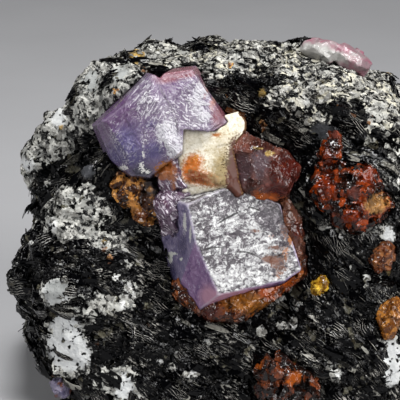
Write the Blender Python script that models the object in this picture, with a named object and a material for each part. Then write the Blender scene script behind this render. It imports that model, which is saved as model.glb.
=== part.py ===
"""Sapphire crystals grown in a rock matrix: a hand specimen about 85 mm wide.

Two violet sapphires (corundum), with a small fibrous one between them, stand out of the front of a
dark mica and feldspar rock. Cream feldspar fills the gap between them, an orange-brown garnet rim
wraps the lower one, and garnets, a pink corundum and smaller grains sit in sockets of their own.

Run it with: blender --background --python part.py
Lengths below are in millimetres, and MM turns them into Blender's metres. +Z is up, -Y is the
front, and the origin is the middle of the bounding box's underside, on the flat cut base.
"""

import math

import bmesh
import bpy
import numpy as np
from mathutils import Vector, noise
from mathutils.bvhtree import BVHTree

MM = 0.001
GAP = 0.3  # clearance between two grains that touch
PARTS = "sapphire_crystals_in_matrix"
CUTTERS = "cutters"

# --- the front frame: places on the rock's front are given as (right, up, out) -----------------
FRONT_TILT = math.radians(18.0)  # the front leans back, so it faces this far above the horizon
FRONT_CENTRE = Vector((-4.0, -26.0, 44.0))
RIGHT = Vector((1.0, 0.0, 0.0))
UP = Vector((0.0, math.sin(FRONT_TILT), math.cos(FRONT_TILT)))
OUT = Vector((0.0, -math.cos(FRONT_TILT), math.sin(FRONT_TILT)))

# --- the rock: a rounded polyhedron about its heart --------------------------------------------
HEART = Vector((0.0, 0.0, 32.0))
ROCK_SHARPNESS = 14.0  # higher gives sharper edges between the broken faces
ROCK_DETAIL = 6  # subdivisions of the icosphere that it starts from
ROCK_KEPT = 0.26  # the share of its triangles kept once its relief is drawn
FRONT_DENSITY = 0.35  # how far its points crowd towards the front
# Each broken face: its outward direction and its distance from the heart.
BROKEN_FACES = (
    ((0.04, -0.955, 0.295), 22.8),  # the front, where the sapphires stand
    ((0.02, -1.0, -0.05), 29.0),  # the lower front
    ((-0.70, -0.55, 0.44), 34.0),  # the front's upper left
    ((-0.80, -0.58, -0.20), 40.0),  # its lower left
    ((0.78, -0.62, 0.10), 41.5),  # its right
    ((0.10, 0.99, 0.10), 27.0),  # the back
    ((0.05, 0.72, 0.69), 35.0),  # the back's upper bevel
    ((0.66, 0.74, -0.08), 37.0),  # back right
    ((-0.62, 0.78, -0.05), 35.0),  # back left
    ((-0.99, 0.10, 0.05), 40.0),  # left
    ((-0.72, 0.15, 0.69), 37.5),  # upper left
    ((-0.93, 0.05, -0.36), 40.0),  # under the left
    ((0.99, -0.06, 0.08), 42.0),  # right
    ((0.60, 0.05, 0.80), 41.0),  # upper right
    ((0.95, 0.05, -0.30), 42.0),  # under the right
    ((0.00, 0.05, 1.00), 31.8),  # the top
)
# Ridges stand out of a side and hollows sink into it. Each has its path on that side, its height
# and its half width. Paths are in (right, up) on the front, (x, y) on the top, (x, z) on the back
# and (y, z) on the left and the right.
FRONT_RELIEF = (
    (((-16.5, 7.2), (-22.5, 1.8), (-27.0, -4.5), (-31.5, -10.8), (-35.0, -18.0)), 4.5, 5.0),
    (((-19.5, 12.5), (-26.0, 7.5), (-31.0, 0.5), (-35.0, -7.0)), -8.0, 4.5),
    (((0.9, 17.0), (6.3, 19.6), (12.6, 20.0), (18.0, 18.2), (25.2, 17.6), (33.3, 14.2), (38.7, 8.0)),
     3.0, 3.6),
    (((6.3, 15.0), (11.7, 14.0), (17.1, 12.5), (19.4, 8.0), (20.0, 3.5)), -6.5, 3.6),
    (((24.0, 13.5), (33.0, 10.0)), -3.5, 4.0),
    (((25.0, 4.0), (29.0, -1.0)), 3.0, 7.0),
    (((20.0, -5.0), (20.5, -12.0), (17.0, -19.0)), -4.5, 4.0),
    (((26.0, -14.0), (34.0, -16.0)), 2.5, 5.0),
    (((13.0, -25.0), (17.5, -25.5)), -5.0, 3.5),
    (((1.0, -22.5), (8.0, -24.0)), 2.0, 2.5),
    (((-25.0, -15.0), (-23.0, -36.0)), 2.5, 5.0),
    (((-14.0, -1.0), (-11.0, -11.0), (-7.0, -20.0)), -3.0, 4.0),
    (((-3.0, -26.0), (12.0, -29.5), (30.0, -31.0)), 2.5, 3.0),
)
TOP_RELIEF = (
    (((-4.0, -5.0), (8.0, -6.0), (22.0, -6.0), (36.0, -3.0)), -6.0, 5.5),
    (((-28.0, -2.0), (-18.0, 6.0), (-12.0, 12.0)), 1.2, 5.0),
    (((-2.0, 6.0), (-3.0, 20.0)), 0.8, 4.0),
    (((6.0, 8.0), (16.0, 9.0)), 2.0, 6.0),
    (((20.0, 16.0), (34.0, 14.0)), -2.5, 4.0),
)
BACK_RELIEF = (
    (((-30.0, 18.0), (-10.0, 30.0), (8.0, 52.0)), 4.0, 6.0),
    (((-20.0, 50.0), (-6.0, 38.0), (20.0, 26.0)), -4.5, 5.0),
    (((14.0, 12.0), (30.0, 34.0), (32.0, 52.0)), 3.5, 6.0),
    (((-34.0, 40.0), (-26.0, 54.0)), -3.0, 5.0),
    (((-8.0, 4.0), (4.0, 16.0)), -3.0, 5.0),
)
LEFT_RELIEF = (
    (((-4.0, 32.0), (-2.0, 40.0), (-1.0, 50.0)), 2.9, 6.5),
    (((-20.0, 12.0), (0.0, 20.0), (22.0, 16.0)), 3.0, 5.0),
    (((-10.0, 42.0), (4.0, 32.0), (20.0, 36.0)), -3.5, 5.0),
)
RIGHT_RELIEF = (
    (((-16.0, 44.0), (0.0, 36.0), (18.0, 44.0)), 3.0, 6.0),
    (((-22.0, 26.0), (-4.0, 24.0), (16.0, 12.0)), -4.0, 4.5),
    (((6.0, 54.0), (20.0, 30.0)), -3.0, 4.0),
    (((-14.0, 6.0), (10.0, 4.0)), 2.5, 5.0),
)
LUMP_HEIGHT, LUMP_SIZE = 2.0, 13.0
GRAIN_HEIGHT, GRAIN_SIZE = 1.1, 5.2
LAYERS = Vector((0.42, -0.20, 0.88)).normalized()  # across the mica layers
LAYER_SPACING, LAYER_STEP = 6.5, 1.1  # each layer's broken edge stands out by the step

# --- the sapphires ------------------------------------------------------------------------------
# The upper one: its side faces as (right, up, distance) and its front faces as
# (right, up, out, distance), all from its middle.
UPPER_MIDDLE = (-7.2, 14.4, 0.0)
UPPER_SIDES = (
    (-0.69, 0.72, 7.1),
    (-0.13, 0.99, 8.1),
    (0.84, 0.54, 9.6),
    (0.58, -0.81, 7.1),
    (-0.67, -0.74, 10.8),
    (-0.915, -0.40, 10.6),
    (-0.10, -0.995, 10.3),
)
UPPER_SIDE_FLARE = 0.12  # the sides spread backwards
UPPER_FRONT = (
    (-0.28, -0.10, 0.95, 4.0),
    (0.30, 0.22, 0.93, 4.6),
    (-0.15, -0.50, 0.85, 5.5),
    (0.10, 0.60, 0.79, 6.8),
)
UPPER_BACK = 11.0
# The lower one: a tilted prism whose broken top is flat. Each side face starts at an edge of that
# top, seen from the front at an azimuth in degrees and a distance from its middle, and its
# direction makes the last angle with the axis.
LOWER_MIDDLE = (7.7, -7.6, 0.0)
LOWER_AXIS = (0.38, 0.12, 0.91)
LOWER_EDGES = (
    (192.3, 8.3, 88.0),
    (203.5, 7.8, 80.0),
    (225.0, 12.4, 97.0),
    (112.8, 10.1, 74.5),
    (68.6, 8.7, 74.5),
    (18.2, 8.5, 74.5),
    (-58.0, 9.9, 74.5),
    (-78.5, 8.3, 76.0),
)
LOWER_DEPTH = 14.0
# The garnet rim around its foot: side faces as (right, up, distance), front faces as
# (right, up, out, distance) and its back, all from the lower sapphire's middle.
RIM_SIDES = (
    (-0.65, -0.76, 13.9),
    (0.0, -1.0, 13.2),
    (0.59, -0.81, 9.9),
    (0.99, 0.10, 9.2),
    (0.88, 0.48, 9.6),
    (-0.39, 0.92, 8.0),
    (-0.85, 0.53, 5.4),
    (-0.99, -0.10, 12.0),
)
RIM_SIDE_FLARE = 0.2
RIM_FRONT = (
    (-0.05, 0.20, 0.98, -2.85),
    (0.35, 0.0, 0.94, -0.4),
    (-0.45, 0.0, 0.89, 1.1),
)
RIM_BACK = 10.5
# The garnet beside the feldspar shows flat faces on its left, and a round lump grows on its right.
GARNET_MIDDLE = (9.5, 6.5, -4.0)
GARNET_SIDES = (
    (-1.0, 0.0, 3.9),
    (0.45, 0.89, 4.5),
    (1.0, 0.1, 6.0),
    (0.0, -1.0, 6.9),
    (-0.70, -0.71, 5.0),
)
GARNET_FRONT = (
    (0.05, 0.0, 1.0, 4.6),
    (-0.55, -0.05, 0.83, 4.1),
    (-0.35, 0.60, 0.72, 4.85),
    (0.55, -0.45, 0.70, 5.4),
    (0.0, -0.75, 0.66, 6.2),
    (-0.35, -0.50, 0.79, 5.7),
)
GARNET_LUMP = (13.9, 4.5, -4.2, 4.5, 3.9, 4.6, 55.0)
GARNET_BACK = 4.6
# The feldspar seam is a plate with a broad flat front, and a tongue of it runs up to the right.
SEAM_MIDDLE = (1.5, 7.0, -3.4)
SEAM_SIDES = (
    (-1.0, 0.0, 5.4),
    (-0.27, 0.96, 7.1),
    (0.80, 0.60, 9.6),
    (1.0, 0.0, 6.6),
    (0.30, -0.95, 7.6),
    (-0.75, -0.66, 7.2),
)
SEAM_FRONT = (
    (-0.06, 0.10, 0.99, 3.6),
    (0.45, 0.15, 0.88, 4.6),
    (-0.12, -0.48, 0.87, 5.2),
)
SEAM_BACK = 4.0
# Two corners are missing from the upper one: a small wedge at its top, and the step that the
# feldspar fills. Each is a middle and faces as (right, up, distance), cut right through.
UPPER_WEDGE = ((-7.3, 22.4), ((-0.55, -0.83, 0.6), (0.78, -0.62, 0.6), (0.0, 1.0, 4.0)))
UPPER_STEP = ((-3.1, 12.8), ((-1.0, 0.05, 0.0), (0.06, 1.0, 0.0), (1.0, 0.0, 12.0), (0.0, -1.0, 9.0)))

# --- the grains around them ---------------------------------------------------------------------
# Each is one or more lumps grown into each other, with flat faces: (right, up, out) of its middle,
# its half length, half width and half depth, and its turn in degrees.
FILLINGS = {
    "middle_sapphire": (
        (-4.9, 4.4, -3.6, 4.2, 3.0, 3.8, -70.0),
        (-4.6, -1.6, -4.0, 4.8, 3.6, 3.8, 80.0),
    ),
    "brown_garnet": (
        (-12.0, 2.4, -6.0, 4.6, 3.4, 3.6, -40.0),
        (-9.2, -0.4, -6.2, 4.4, 3.6, 3.4, -60.0),
    ),
}
# These sit on the rock, so their middles' heights are from its surface.
GRAINS = {
    "garnet_cluster_right": (
        (23.9, 8.2, 0.2, 4.0, 1.7, 2.4, 82.0),
        (24.4, 2.2, 0.2, 4.2, 3.7, 3.6, 40.0),
        (29.2, 2.0, 0.2, 4.4, 3.6, 3.6, -30.0),
        (27.2, -1.9, 0.4, 4.8, 3.3, 3.8, -35.0),
        (31.8, -1.0, 0.0, 3.2, 2.8, 3.0, 10.0),
    ),
    "garnet_grain_right": ((33.4, -10.4, 0.2, 2.8, 2.2, 2.4, 70.0),),
    "garnet_edge_right": ((35.2, -21.6, 0.2, 4.2, 1.8, 2.4, 80.0),),
    "garnet_cluster_bottom": (
        (13.6, -31.6, 0.2, 3.6, 2.9, 3.0, 30.0),
        (17.6, -33.6, 0.3, 4.6, 3.2, 3.2, -30.0),
        (13.4, -35.4, 0.0, 3.8, 3.0, 3.0, 60.0),
    ),
    "yellow_grain": ((22.1, -15.7, 0.5, 1.7, 1.4, 1.6, 40.0),),
    "corner_sapphire": ((-25.9, -34.0, 0.2, 3.6, 1.9, 2.6, 80.0),),
}
# The pink corundum lies on the top, at the back right, and is placed in the front frame too.
PINK_LUMPS = (
    (23.8, 28.6, -24.0, 4.8, 2.0, 3.4, -8.0),
    (29.0, 27.0, -24.0, 4.8, 1.8, 3.4, -28.0),
)
LUMP_FACES = 15  # flat faces on each lump
LUMP_UNEVENNESS = 0.2  # how much those faces' distances vary
GOLDEN_ANGLE = math.pi * (3.0 - math.sqrt(5.0))

COLOURS = {
    "matrix": (0.05, 0.05, 0.05),
    "upper_sapphire": (0.27, 0.22, 0.36),
    "middle_sapphire": (0.35, 0.24, 0.40),
    "lower_sapphire": (0.45, 0.42, 0.45),
    "corner_sapphire": (0.16, 0.14, 0.26),
    "pink_corundum": (0.65, 0.45, 0.50),
    "feldspar_seam": (0.74, 0.69, 0.54),
    "garnet_rim": (0.22, 0.08, 0.03),
    "garnet_beside_feldspar": (0.22, 0.08, 0.06),
    "brown_garnet": (0.20, 0.09, 0.04),
    "garnet_cluster_right": (0.26, 0.06, 0.03),
    "garnet_grain_right": (0.25, 0.08, 0.03),
    "garnet_edge_right": (0.30, 0.13, 0.04),
    "garnet_cluster_bottom": (0.16, 0.06, 0.03),
    "yellow_grain": (0.40, 0.26, 0.04),
}


def front(right, up, out=0.0):
    """World place, in mm, of a place given in the front frame."""
    return FRONT_CENTRE + RIGHT * right + UP * up + OUT * out


def facing(right, up, out):
    """World direction of one given in the front frame."""
    return (RIGHT * right + UP * up + OUT * out).normalized()


def clear_scene():
    for obj in list(bpy.data.objects):
        bpy.data.objects.remove(obj, do_unlink=True)


def new_collection(name):
    collection = bpy.data.collections.new(name)
    bpy.context.scene.collection.children.link(collection)
    return collection


def add_object(name, bm, collection):
    """A new object from a bmesh in mm, with its faces turned outwards."""
    bmesh.ops.recalc_face_normals(bm, faces=bm.faces)
    bmesh.ops.scale(bm, vec=(MM, MM, MM), verts=bm.verts)
    mesh = bpy.data.meshes.new(name)
    bm.to_mesh(mesh)
    bm.free()
    obj = bpy.data.objects.new(name, mesh)
    collection.objects.link(obj)
    return obj


# --- shapes -------------------------------------------------------------------------------------


def path_distance(points, path):
    """Distance from each 2-D point to the nearest place on a path."""
    nearest = np.full(len(points), np.inf)
    for start, end in zip(path[:-1], path[1:]):
        start, end = np.array(start), np.array(end)
        along = end - start
        part = np.clip((points - start) @ along / (along @ along), 0.0, 1.0)
        gap = np.linalg.norm(points - start - part[:, None] * along, axis=1)
        nearest = np.minimum(nearest, gap)
    return nearest


def relief(points, directions, features, side, across, upwards, origin):
    """Ridges and hollows drawn on one side of the rock, fading out where it turns away."""
    facing_side = np.clip((directions @ np.array(side) + 0.1) / 0.4, 0.0, 1.0)
    local = points - np.array(origin)
    flat = np.stack([local @ np.array(across), local @ np.array(upwards)], axis=1)
    height = np.zeros(len(points))
    for path, peak, half_width in features:
        height += peak * np.exp(-((path_distance(flat, path) / half_width) ** 2))
    return height * facing_side


def rounded_polyhedron(directions, faces, sharpness):
    """Radius along each unit direction of a solid bounded by faces, with rounded edges."""
    total = np.zeros(len(directions))
    for pole, distance in faces:
        pole = np.array(pole, float) / np.linalg.norm(pole)
        total += np.maximum(directions @ pole / distance, 0.0) ** sharpness
    return total ** (-1.0 / sharpness)


def rock_noise(points, size, seed):
    shift = Vector((seed, -seed, seed * 0.5))
    return np.array([noise.noise(Vector(point) / size + shift) for point in points])


def cell_step(points, size, seed):
    """A random height for each of the angular cells that the points fall in."""
    shift = Vector((seed, seed * 0.3, -seed))
    steps = []
    for point in points:
        nearest = noise.voronoi(Vector(point) / size + shift)[1][0]
        steps.append(noise.cell(nearest * 7.3))
    return np.array(steps)


def make_rock():
    bm = bmesh.new()
    bmesh.ops.create_icosphere(bm, subdivisions=ROCK_DETAIL, radius=1.0)
    directions = np.array([vert.co for vert in bm.verts]) + FRONT_DENSITY * np.array(OUT)
    directions /= np.linalg.norm(directions, axis=1)[:, None]
    radius = rounded_polyhedron(directions, BROKEN_FACES, ROCK_SHARPNESS)
    points = np.array(HEART) + directions * radius[:, None]
    height = relief(points, directions, FRONT_RELIEF, OUT, RIGHT, UP, FRONT_CENTRE)
    for features, side, across, upwards in (
        (TOP_RELIEF, (0, 0, 1), (1, 0, 0), (0, 1, 0)),
        (BACK_RELIEF, (0, 1, 0), (1, 0, 0), (0, 0, 1)),
        (LEFT_RELIEF, (-1, 0, 0), (0, 1, 0), (0, 0, 1)),
        (RIGHT_RELIEF, (1, 0, 0), (0, 1, 0), (0, 0, 1)),
    ):
        height += relief(points, directions, features, side, across, upwards, (0, 0, 0))
    height += LUMP_HEIGHT * rock_noise(points, LUMP_SIZE, 3.0)
    height += GRAIN_HEIGHT * (cell_step(points, GRAIN_SIZE, 5.0) - 0.5)
    layer = (points @ np.array(LAYERS)) / LAYER_SPACING + 0.8 * rock_noise(points, 18.0, 9.0)
    height += LAYER_STEP * (layer - np.floor(layer) - 0.5)
    points += directions * height[:, None]
    for vert, point in zip(bm.verts, points):
        vert.co = Vector(point)
    bisect(bm, Vector((0, 0, 0)), Vector((0, 0, -1)))
    rock = add_object("matrix", bm, bpy.data.collections[PARTS])
    set_material(rock)
    thinned = rock.modifiers.new("thinned", "DECIMATE")
    thinned.ratio = ROCK_KEPT
    apply_modifiers(rock)
    return rock


def bisect(bm, point, outward):
    """Cut off everything beyond a plane and close the cut with one flat face."""
    geometry = bm.verts[:] + bm.edges[:] + bm.faces[:]
    cut = bmesh.ops.bisect_plane(
        bm, geom=geometry, dist=1e-5, plane_co=point, plane_no=outward, clear_outer=True
    )
    edges = [item for item in cut["geom_cut"] if isinstance(item, bmesh.types.BMEdge)]
    bmesh.ops.contextual_create(bm, geom=edges)


def polyhedron(middle, faces, grow=0.0):
    """A crystal: a cube cut by each of its faces, given as an outward direction and a distance."""
    bm = bmesh.new()
    bmesh.ops.create_cube(bm, size=80.0)
    bmesh.ops.translate(bm, vec=middle, verts=bm.verts)
    for pole, distance in faces:
        bisect(bm, middle + pole * (distance + grow), pole)
    return bm


def side_faces(sides, flare):
    """Faces seen nearly edge on from the front: they spread backwards by the flare."""
    return [(facing(right, up, flare), distance) for right, up, distance in sides]


def block(middle, sides, flare, fronts, back):
    """A crystal from its sides, its front faces and its back, as a function of its growth."""
    faces = side_faces(sides, flare)
    faces += [(facing(right, up, out), distance) for right, up, out, distance in fronts]
    faces.append((-OUT, back))
    return lambda grow: polyhedron(front(*middle), faces, grow)


def lower_faces():
    """Faces of a tilted prism whose flat top's edges are given as they are seen from the front."""
    a_right, a_up, a_out = Vector(LOWER_AXIS).normalized()
    top = facing(a_right, a_up, a_out)
    faces = [(top, 0.0), (-top, LOWER_DEPTH)]
    for azimuth, distance, lean in LOWER_EDGES:
        right, up = math.cos(math.radians(azimuth)), math.sin(math.radians(azimuth))
        rise = -(a_right * right + a_up * up) * distance / a_out
        on_edge = RIGHT * (right * distance) + UP * (up * distance) + OUT * rise
        slope = (a_right * up - a_up * right) / a_out
        outward = (UP * right - RIGHT * up + OUT * slope).cross(top).normalized()
        if outward.dot(on_edge) < 0.0:
            outward.negate()
        lean = math.radians(lean)
        pole = (outward * math.sin(lean) + top * math.cos(lean)).normalized()
        faces.append((pole, pole.dot(on_edge)))
    return faces


def through_faces(sides, reach=30.0):
    """Faces of a cutter whose sides are seen edge on from the front and that goes right through."""
    return side_faces(sides, 0.0) + [(OUT, reach), (-OUT, reach)]


def lump(place, seed, grow=0.0):
    """One rounded crystal: flat faces spread evenly around an ellipsoid."""
    right, up, out, half_length, half_width, half_depth, turn = place
    turn = math.radians(turn)
    long_axis = RIGHT * math.cos(turn) + UP * math.sin(turn)
    short_axis = UP * math.cos(turn) - RIGHT * math.sin(turn)
    faces = []
    for number in range(LUMP_FACES):
        height = 1.0 - 2.0 * (number + 0.5) / LUMP_FACES
        angle = number * GOLDEN_ANGLE + seed
        round_part = math.sqrt(1.0 - height * height)
        along, across = round_part * math.cos(angle), round_part * math.sin(angle)
        pole = long_axis * along + short_axis * across + OUT * height
        reach = math.hypot(half_length * along, half_width * across, half_depth * height)
        unevenness = noise.noise(Vector((number * 1.7, seed * 2.3, 0.5)))
        faces.append((pole, reach * (0.93 + LUMP_UNEVENNESS * unevenness)))
    return polyhedron(front(right, up, out), faces, grow)


# --- pieces -------------------------------------------------------------------------------------


def set_material(obj):
    material = bpy.data.materials.new(obj.name)
    material.use_nodes = True
    shader = material.node_tree.nodes["Principled BSDF"]
    shader.inputs["Base Color"].default_value = (*COLOURS[obj.name], 1.0)
    shader.inputs["Roughness"].default_value = 0.3
    obj.data.materials.append(material)


def combine(obj, other, operation):
    modifier = obj.modifiers.new(other.name, "BOOLEAN")
    modifier.operation = operation
    modifier.solver = "EXACT"
    modifier.object = other


def as_cutter(obj):
    obj.hide_render = True
    obj.display_type = "WIRE"
    return obj


def apply_modifiers(obj):
    bpy.context.view_layer.update()
    evaluated = obj.evaluated_get(bpy.context.evaluated_depsgraph_get())
    mesh = bpy.data.meshes.new_from_object(evaluated)
    obj.modifiers.clear()
    obj.data = mesh


def keep_largest_body(obj):
    """Apply the cuts, and drop the splinters that they leave loose."""
    apply_modifiers(obj)
    bm = bmesh.new()
    bm.from_mesh(obj.data)
    bodies, seen = [], set()
    for start in bm.verts:
        if start in seen:
            continue
        seen.add(start)
        body, queue = [], [start]
        while queue:
            vert = queue.pop()
            body.append(vert)
            fresh = [edge.other_vert(vert) for edge in vert.link_edges]
            fresh = [other for other in fresh if other not in seen]
            seen.update(fresh)
            queue.extend(fresh)
        bodies.append(body)
    bodies.sort(key=len)
    for body in bodies[:-1]:
        bmesh.ops.delete(bm, geom=body, context="VERTS")
    bm.to_mesh(obj.data)
    bm.free()


def add_piece(name, shapes, neighbours=()):
    """Add a piece cut by its neighbours' sockets. Returns the piece and its own socket's cutter.

    Each of the shapes is a function of how far it grows on every side, and they are joined.
    """
    made = []
    for collection, grow, suffix in ((PARTS, 0.0, ""), (CUTTERS, GAP, "_socket")):
        obj = add_object(name + suffix, shapes[0](grow), bpy.data.collections[collection])
        others = [add_object("joined", shape(grow), obj.users_collection[0]) for shape in shapes[1:]]
        for other in others:
            combine(obj, other, "UNION")
        apply_modifiers(obj)
        for other in others:
            bpy.data.objects.remove(other, do_unlink=True)
        made.append(obj)
    obj, cutter = made
    set_material(obj)
    for neighbour in neighbours:
        combine(obj, neighbour, "DIFFERENCE")
    keep_largest_body(obj)
    return obj, as_cutter(cutter)


def add_sapphires():
    """The two crystals with flat faces. Returns their sockets' cutters, the upper one first."""
    shape = block(UPPER_MIDDLE, UPPER_SIDES, UPPER_SIDE_FLARE, UPPER_FRONT, UPPER_BACK)
    upper, upper_socket = add_piece("upper_sapphire", [shape])
    seat = front(*LOWER_MIDDLE)
    _, lower_socket = add_piece(
        "lower_sapphire", [lambda grow: polyhedron(seat, lower_faces(), grow)]
    )
    for name, (place, sides), grow in (
        ("wedge", UPPER_WEDGE, 0.0), ("step", UPPER_STEP, 0.0), ("step_socket", UPPER_STEP, -GAP)
    ):
        shape = polyhedron(front(*place), through_faces(sides), grow)
        notch = as_cutter(add_object("upper_" + name, shape, bpy.data.collections[CUTTERS]))
        combine(upper_socket if grow else upper, notch, "DIFFERENCE")
    keep_largest_body(upper)
    apply_modifiers(upper_socket)
    return upper_socket, lower_socket


def add_lumps(name, places, seed, neighbours, tree=None):
    """A piece of grown-together lumps, on the rock's surface if its search tree is given."""
    shapes = []
    for number, place in enumerate(places):
        right, up, out = place[:3]
        if tree:
            out += surface_height(tree, right, up)
        lump_place = (right, up, out, *place[3:])
        shapes.append(lambda grow, at=lump_place, turn=seed + number: lump(at, turn, grow))
    return add_piece(name, shapes, neighbours)[1]


def surface_height(tree, right, up):
    """How far out the rock's surface lies at a place on its front."""
    hit = tree.ray_cast(front(right, up, 60.0) * MM, -OUT)[0]
    return (hit / MM - FRONT_CENTRE).dot(OUT)


def stand_on_origin():
    """Move everything so that the origin is the middle of the bounding box's underside."""
    pieces = bpy.data.collections[PARTS].objects
    places = np.concatenate([[vert.co for vert in obj.data.vertices] for obj in pieces])
    low, high = places.min(axis=0), places.max(axis=0)
    shift = Vector((-(low[0] + high[0]) / 2, -(low[1] + high[1]) / 2, -low[2]))
    for name in (PARTS, CUTTERS):
        for obj in bpy.data.collections[name].objects:
            obj.location = shift
    return shift


def main():
    clear_scene()
    new_collection(PARTS)
    new_collection(CUTTERS)
    rock = make_rock()
    tree = BVHTree.FromObject(rock, bpy.context.evaluated_depsgraph_get())

    upper, lower = add_sapphires()
    sockets = [upper, lower]
    sockets.append(add_lumps("pink_corundum", PINK_LUMPS, 1.0, sockets))
    garnet = [
        block(GARNET_MIDDLE, GARNET_SIDES, 0.0, GARNET_FRONT, GARNET_BACK),
        lambda grow: lump(GARNET_LUMP, 3.0, grow),
    ]
    sockets.append(add_piece("garnet_beside_feldspar", garnet, sockets)[1])
    for number, (name, places) in enumerate(FILLINGS.items()):
        sockets.append(add_lumps(name, places, 3.0 + number, sockets))
    seam = block(SEAM_MIDDLE, SEAM_SIDES, 0.0, SEAM_FRONT, SEAM_BACK)
    sockets.append(add_piece("feldspar_seam", [seam], sockets)[1])
    rim = block(LOWER_MIDDLE, RIM_SIDES, RIM_SIDE_FLARE, RIM_FRONT, RIM_BACK)
    sockets.append(add_piece("garnet_rim", [rim], sockets)[1])
    for number, (name, places) in enumerate(GRAINS.items()):
        sockets.append(add_lumps(name, places, 7.0 + number, sockets, tree))
    for socket in sockets:
        combine(rock, socket, "DIFFERENCE")
    keep_largest_body(rock)
    return stand_on_origin()


ORIGIN_SHIFT = main()
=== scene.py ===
# %% [markdown]
# # Sapphire crystals in their rock
# This hand specimen is a dark rock of black mica with sugary white feldspar. Two violet
# sapphires stand out of its front, with cream feldspar between them and orange-brown garnets
# around them. The solids are already made. This lesson gives them their skin: broken grain,
# flakes, stained patches, and the gloss and tints of each mineral.
#
# It starts from the solids as a fixed frame, and every new piece is fitted to it.

# %% The frame
import math

import bmesh
import bpy
import numpy as np
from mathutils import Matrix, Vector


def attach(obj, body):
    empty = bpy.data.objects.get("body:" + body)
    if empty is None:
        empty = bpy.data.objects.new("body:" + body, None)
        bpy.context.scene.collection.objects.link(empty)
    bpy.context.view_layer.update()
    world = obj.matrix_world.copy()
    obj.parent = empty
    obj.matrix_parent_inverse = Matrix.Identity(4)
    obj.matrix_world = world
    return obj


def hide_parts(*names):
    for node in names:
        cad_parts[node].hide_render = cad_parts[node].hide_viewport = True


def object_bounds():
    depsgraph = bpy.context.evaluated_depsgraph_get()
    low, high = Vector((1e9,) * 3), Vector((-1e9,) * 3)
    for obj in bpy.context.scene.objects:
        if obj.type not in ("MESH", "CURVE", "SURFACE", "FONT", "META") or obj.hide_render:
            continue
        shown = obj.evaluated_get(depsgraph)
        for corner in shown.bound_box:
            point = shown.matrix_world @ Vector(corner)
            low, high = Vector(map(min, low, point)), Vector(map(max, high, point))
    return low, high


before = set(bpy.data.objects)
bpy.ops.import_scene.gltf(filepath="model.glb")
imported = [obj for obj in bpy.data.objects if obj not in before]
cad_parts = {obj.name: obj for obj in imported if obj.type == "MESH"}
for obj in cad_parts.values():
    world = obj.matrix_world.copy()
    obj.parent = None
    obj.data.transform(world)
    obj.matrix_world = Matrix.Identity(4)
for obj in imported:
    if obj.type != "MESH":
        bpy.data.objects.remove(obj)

for leftover in ("Cube", "Light", "Camera"):
    if leftover in bpy.data.objects:
        bpy.data.objects.remove(bpy.data.objects[leftover], do_unlink=True)
SOLID_BOX = [list(corner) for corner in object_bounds()]
MM = 0.001
BOX_LOW, BOX_HIGH = (np.array(corner) / MM for corner in SOLID_BOX)
print("the solids' box, in mm:", BOX_LOW.round(1), BOX_HIGH.round(1))

# %% [markdown]
# ## A frame for the front
# The specimen is looked at from a little above, so its front is described in three directions of
# its own: right, up and out towards the eye. Lengths in this lesson are in millimetres. A place
# that lies farther back looks closer to the middle, so a patch that is given as it is seen is
# compared with places that are drawn together in the same way.

# %% Front directions
LEAN = math.radians(18.0)  # how steeply the eye looks down
CENTRE = np.array((-5.6, -25.5, 44.0))  # mm: the place on the front that the eye looks at
RIGHT = np.array((1.0, 0.0, 0.0))
UP = np.array((0.0, math.sin(LEAN), math.cos(LEAN)))
OUT = np.array((0.0, -math.cos(LEAN), math.sin(LEAN)))
EYE_DISTANCE = 350.0  # mm


def heading(degrees):
    """The direction at an angle on the front, from right towards up."""
    return math.cos(math.radians(degrees)) * RIGHT + math.sin(math.radians(degrees)) * UP


def front(points):
    """Right, up and out of each place: its offset from the centre along each direction."""
    return (points - CENTRE) @ np.stack([RIGHT, UP, OUT], axis=1)


def as_seen(points):
    """Right and up as the eye sees them: each times the eye's distance over the place's depth."""
    local = front(points)
    return local[:, :2] * (EYE_DISTANCE / (EYE_DISTANCE - local[:, 2:]))


# %% [markdown]
# ## Random patterns that never change
# Broken stone is random at every size, but a lesson has to give the same stone each time. A hash
# turns whole-number places into numbers that look random. Blended between them it gives soft
# noise, and the nearest of many scattered middles gives angular grains.

# %% Soft noise
def hashed(cells, seed):
    """A fixed number from 0 to 1 for each cell: its coordinates times big primes, mixed twice."""
    mixed = (cells[:, 0] * 73856093) ^ (cells[:, 1] * 19349663) ^ (cells[:, 2] * 83492791)
    mixed = (mixed ^ (seed * 974711)) & 0xFFFFFFFF
    for _ in range(2):
        mixed = ((mixed ^ (mixed >> 15)) * 2246822519) & 0xFFFFFFFF
    return (mixed ^ (mixed >> 13)) / 4294967296.0


def hashed_vectors(cells, seed):
    """Three fixed numbers from 0 to 1 for each cell."""
    return np.stack([hashed(cells, seed + axis) for axis in range(3)], axis=1)


def soft_noise(points, size, seed, octaves=3):
    """Smooth heights from -1 to 1: hashed corners blended over each cell, halved and repeated."""
    total = np.zeros(len(points))
    for octave in range(octaves):
        place = points * (2.0**octave / size) + 31.7 * seed
        low = np.floor(place)
        part = place - low
        part = part * part * (3.0 - 2.0 * part)
        low = low.astype(np.int64)
        for corner in np.ndindex(2, 2, 2):
            weight = np.prod(np.where(corner, part, 1.0 - part), axis=1)
            total += weight * (2.0 * hashed(low + corner, seed + octave) - 1.0) * 0.5**octave
    return total / (2.0 - 0.5 ** (octaves - 1))


# %% [markdown]
# Places and directions are kept as the rows of arrays, so that a whole surface is worked out at
# once. Three small helpers say what is done to each row.

# %% Vectors in rows
def dots(first, second):
    """The dot product of each row with its partner."""
    return np.einsum("ij,ij->i", first, second)


def unit(vectors):
    """Each vector over its own length."""
    return vectors / np.maximum(np.linalg.norm(vectors, axis=1), 1e-9)[:, None]


def laid_on(vectors, poles):
    """Each vector without its part along its pole, at unit length."""
    return unit(vectors - dots(vectors, poles)[:, None] * poles)


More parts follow.
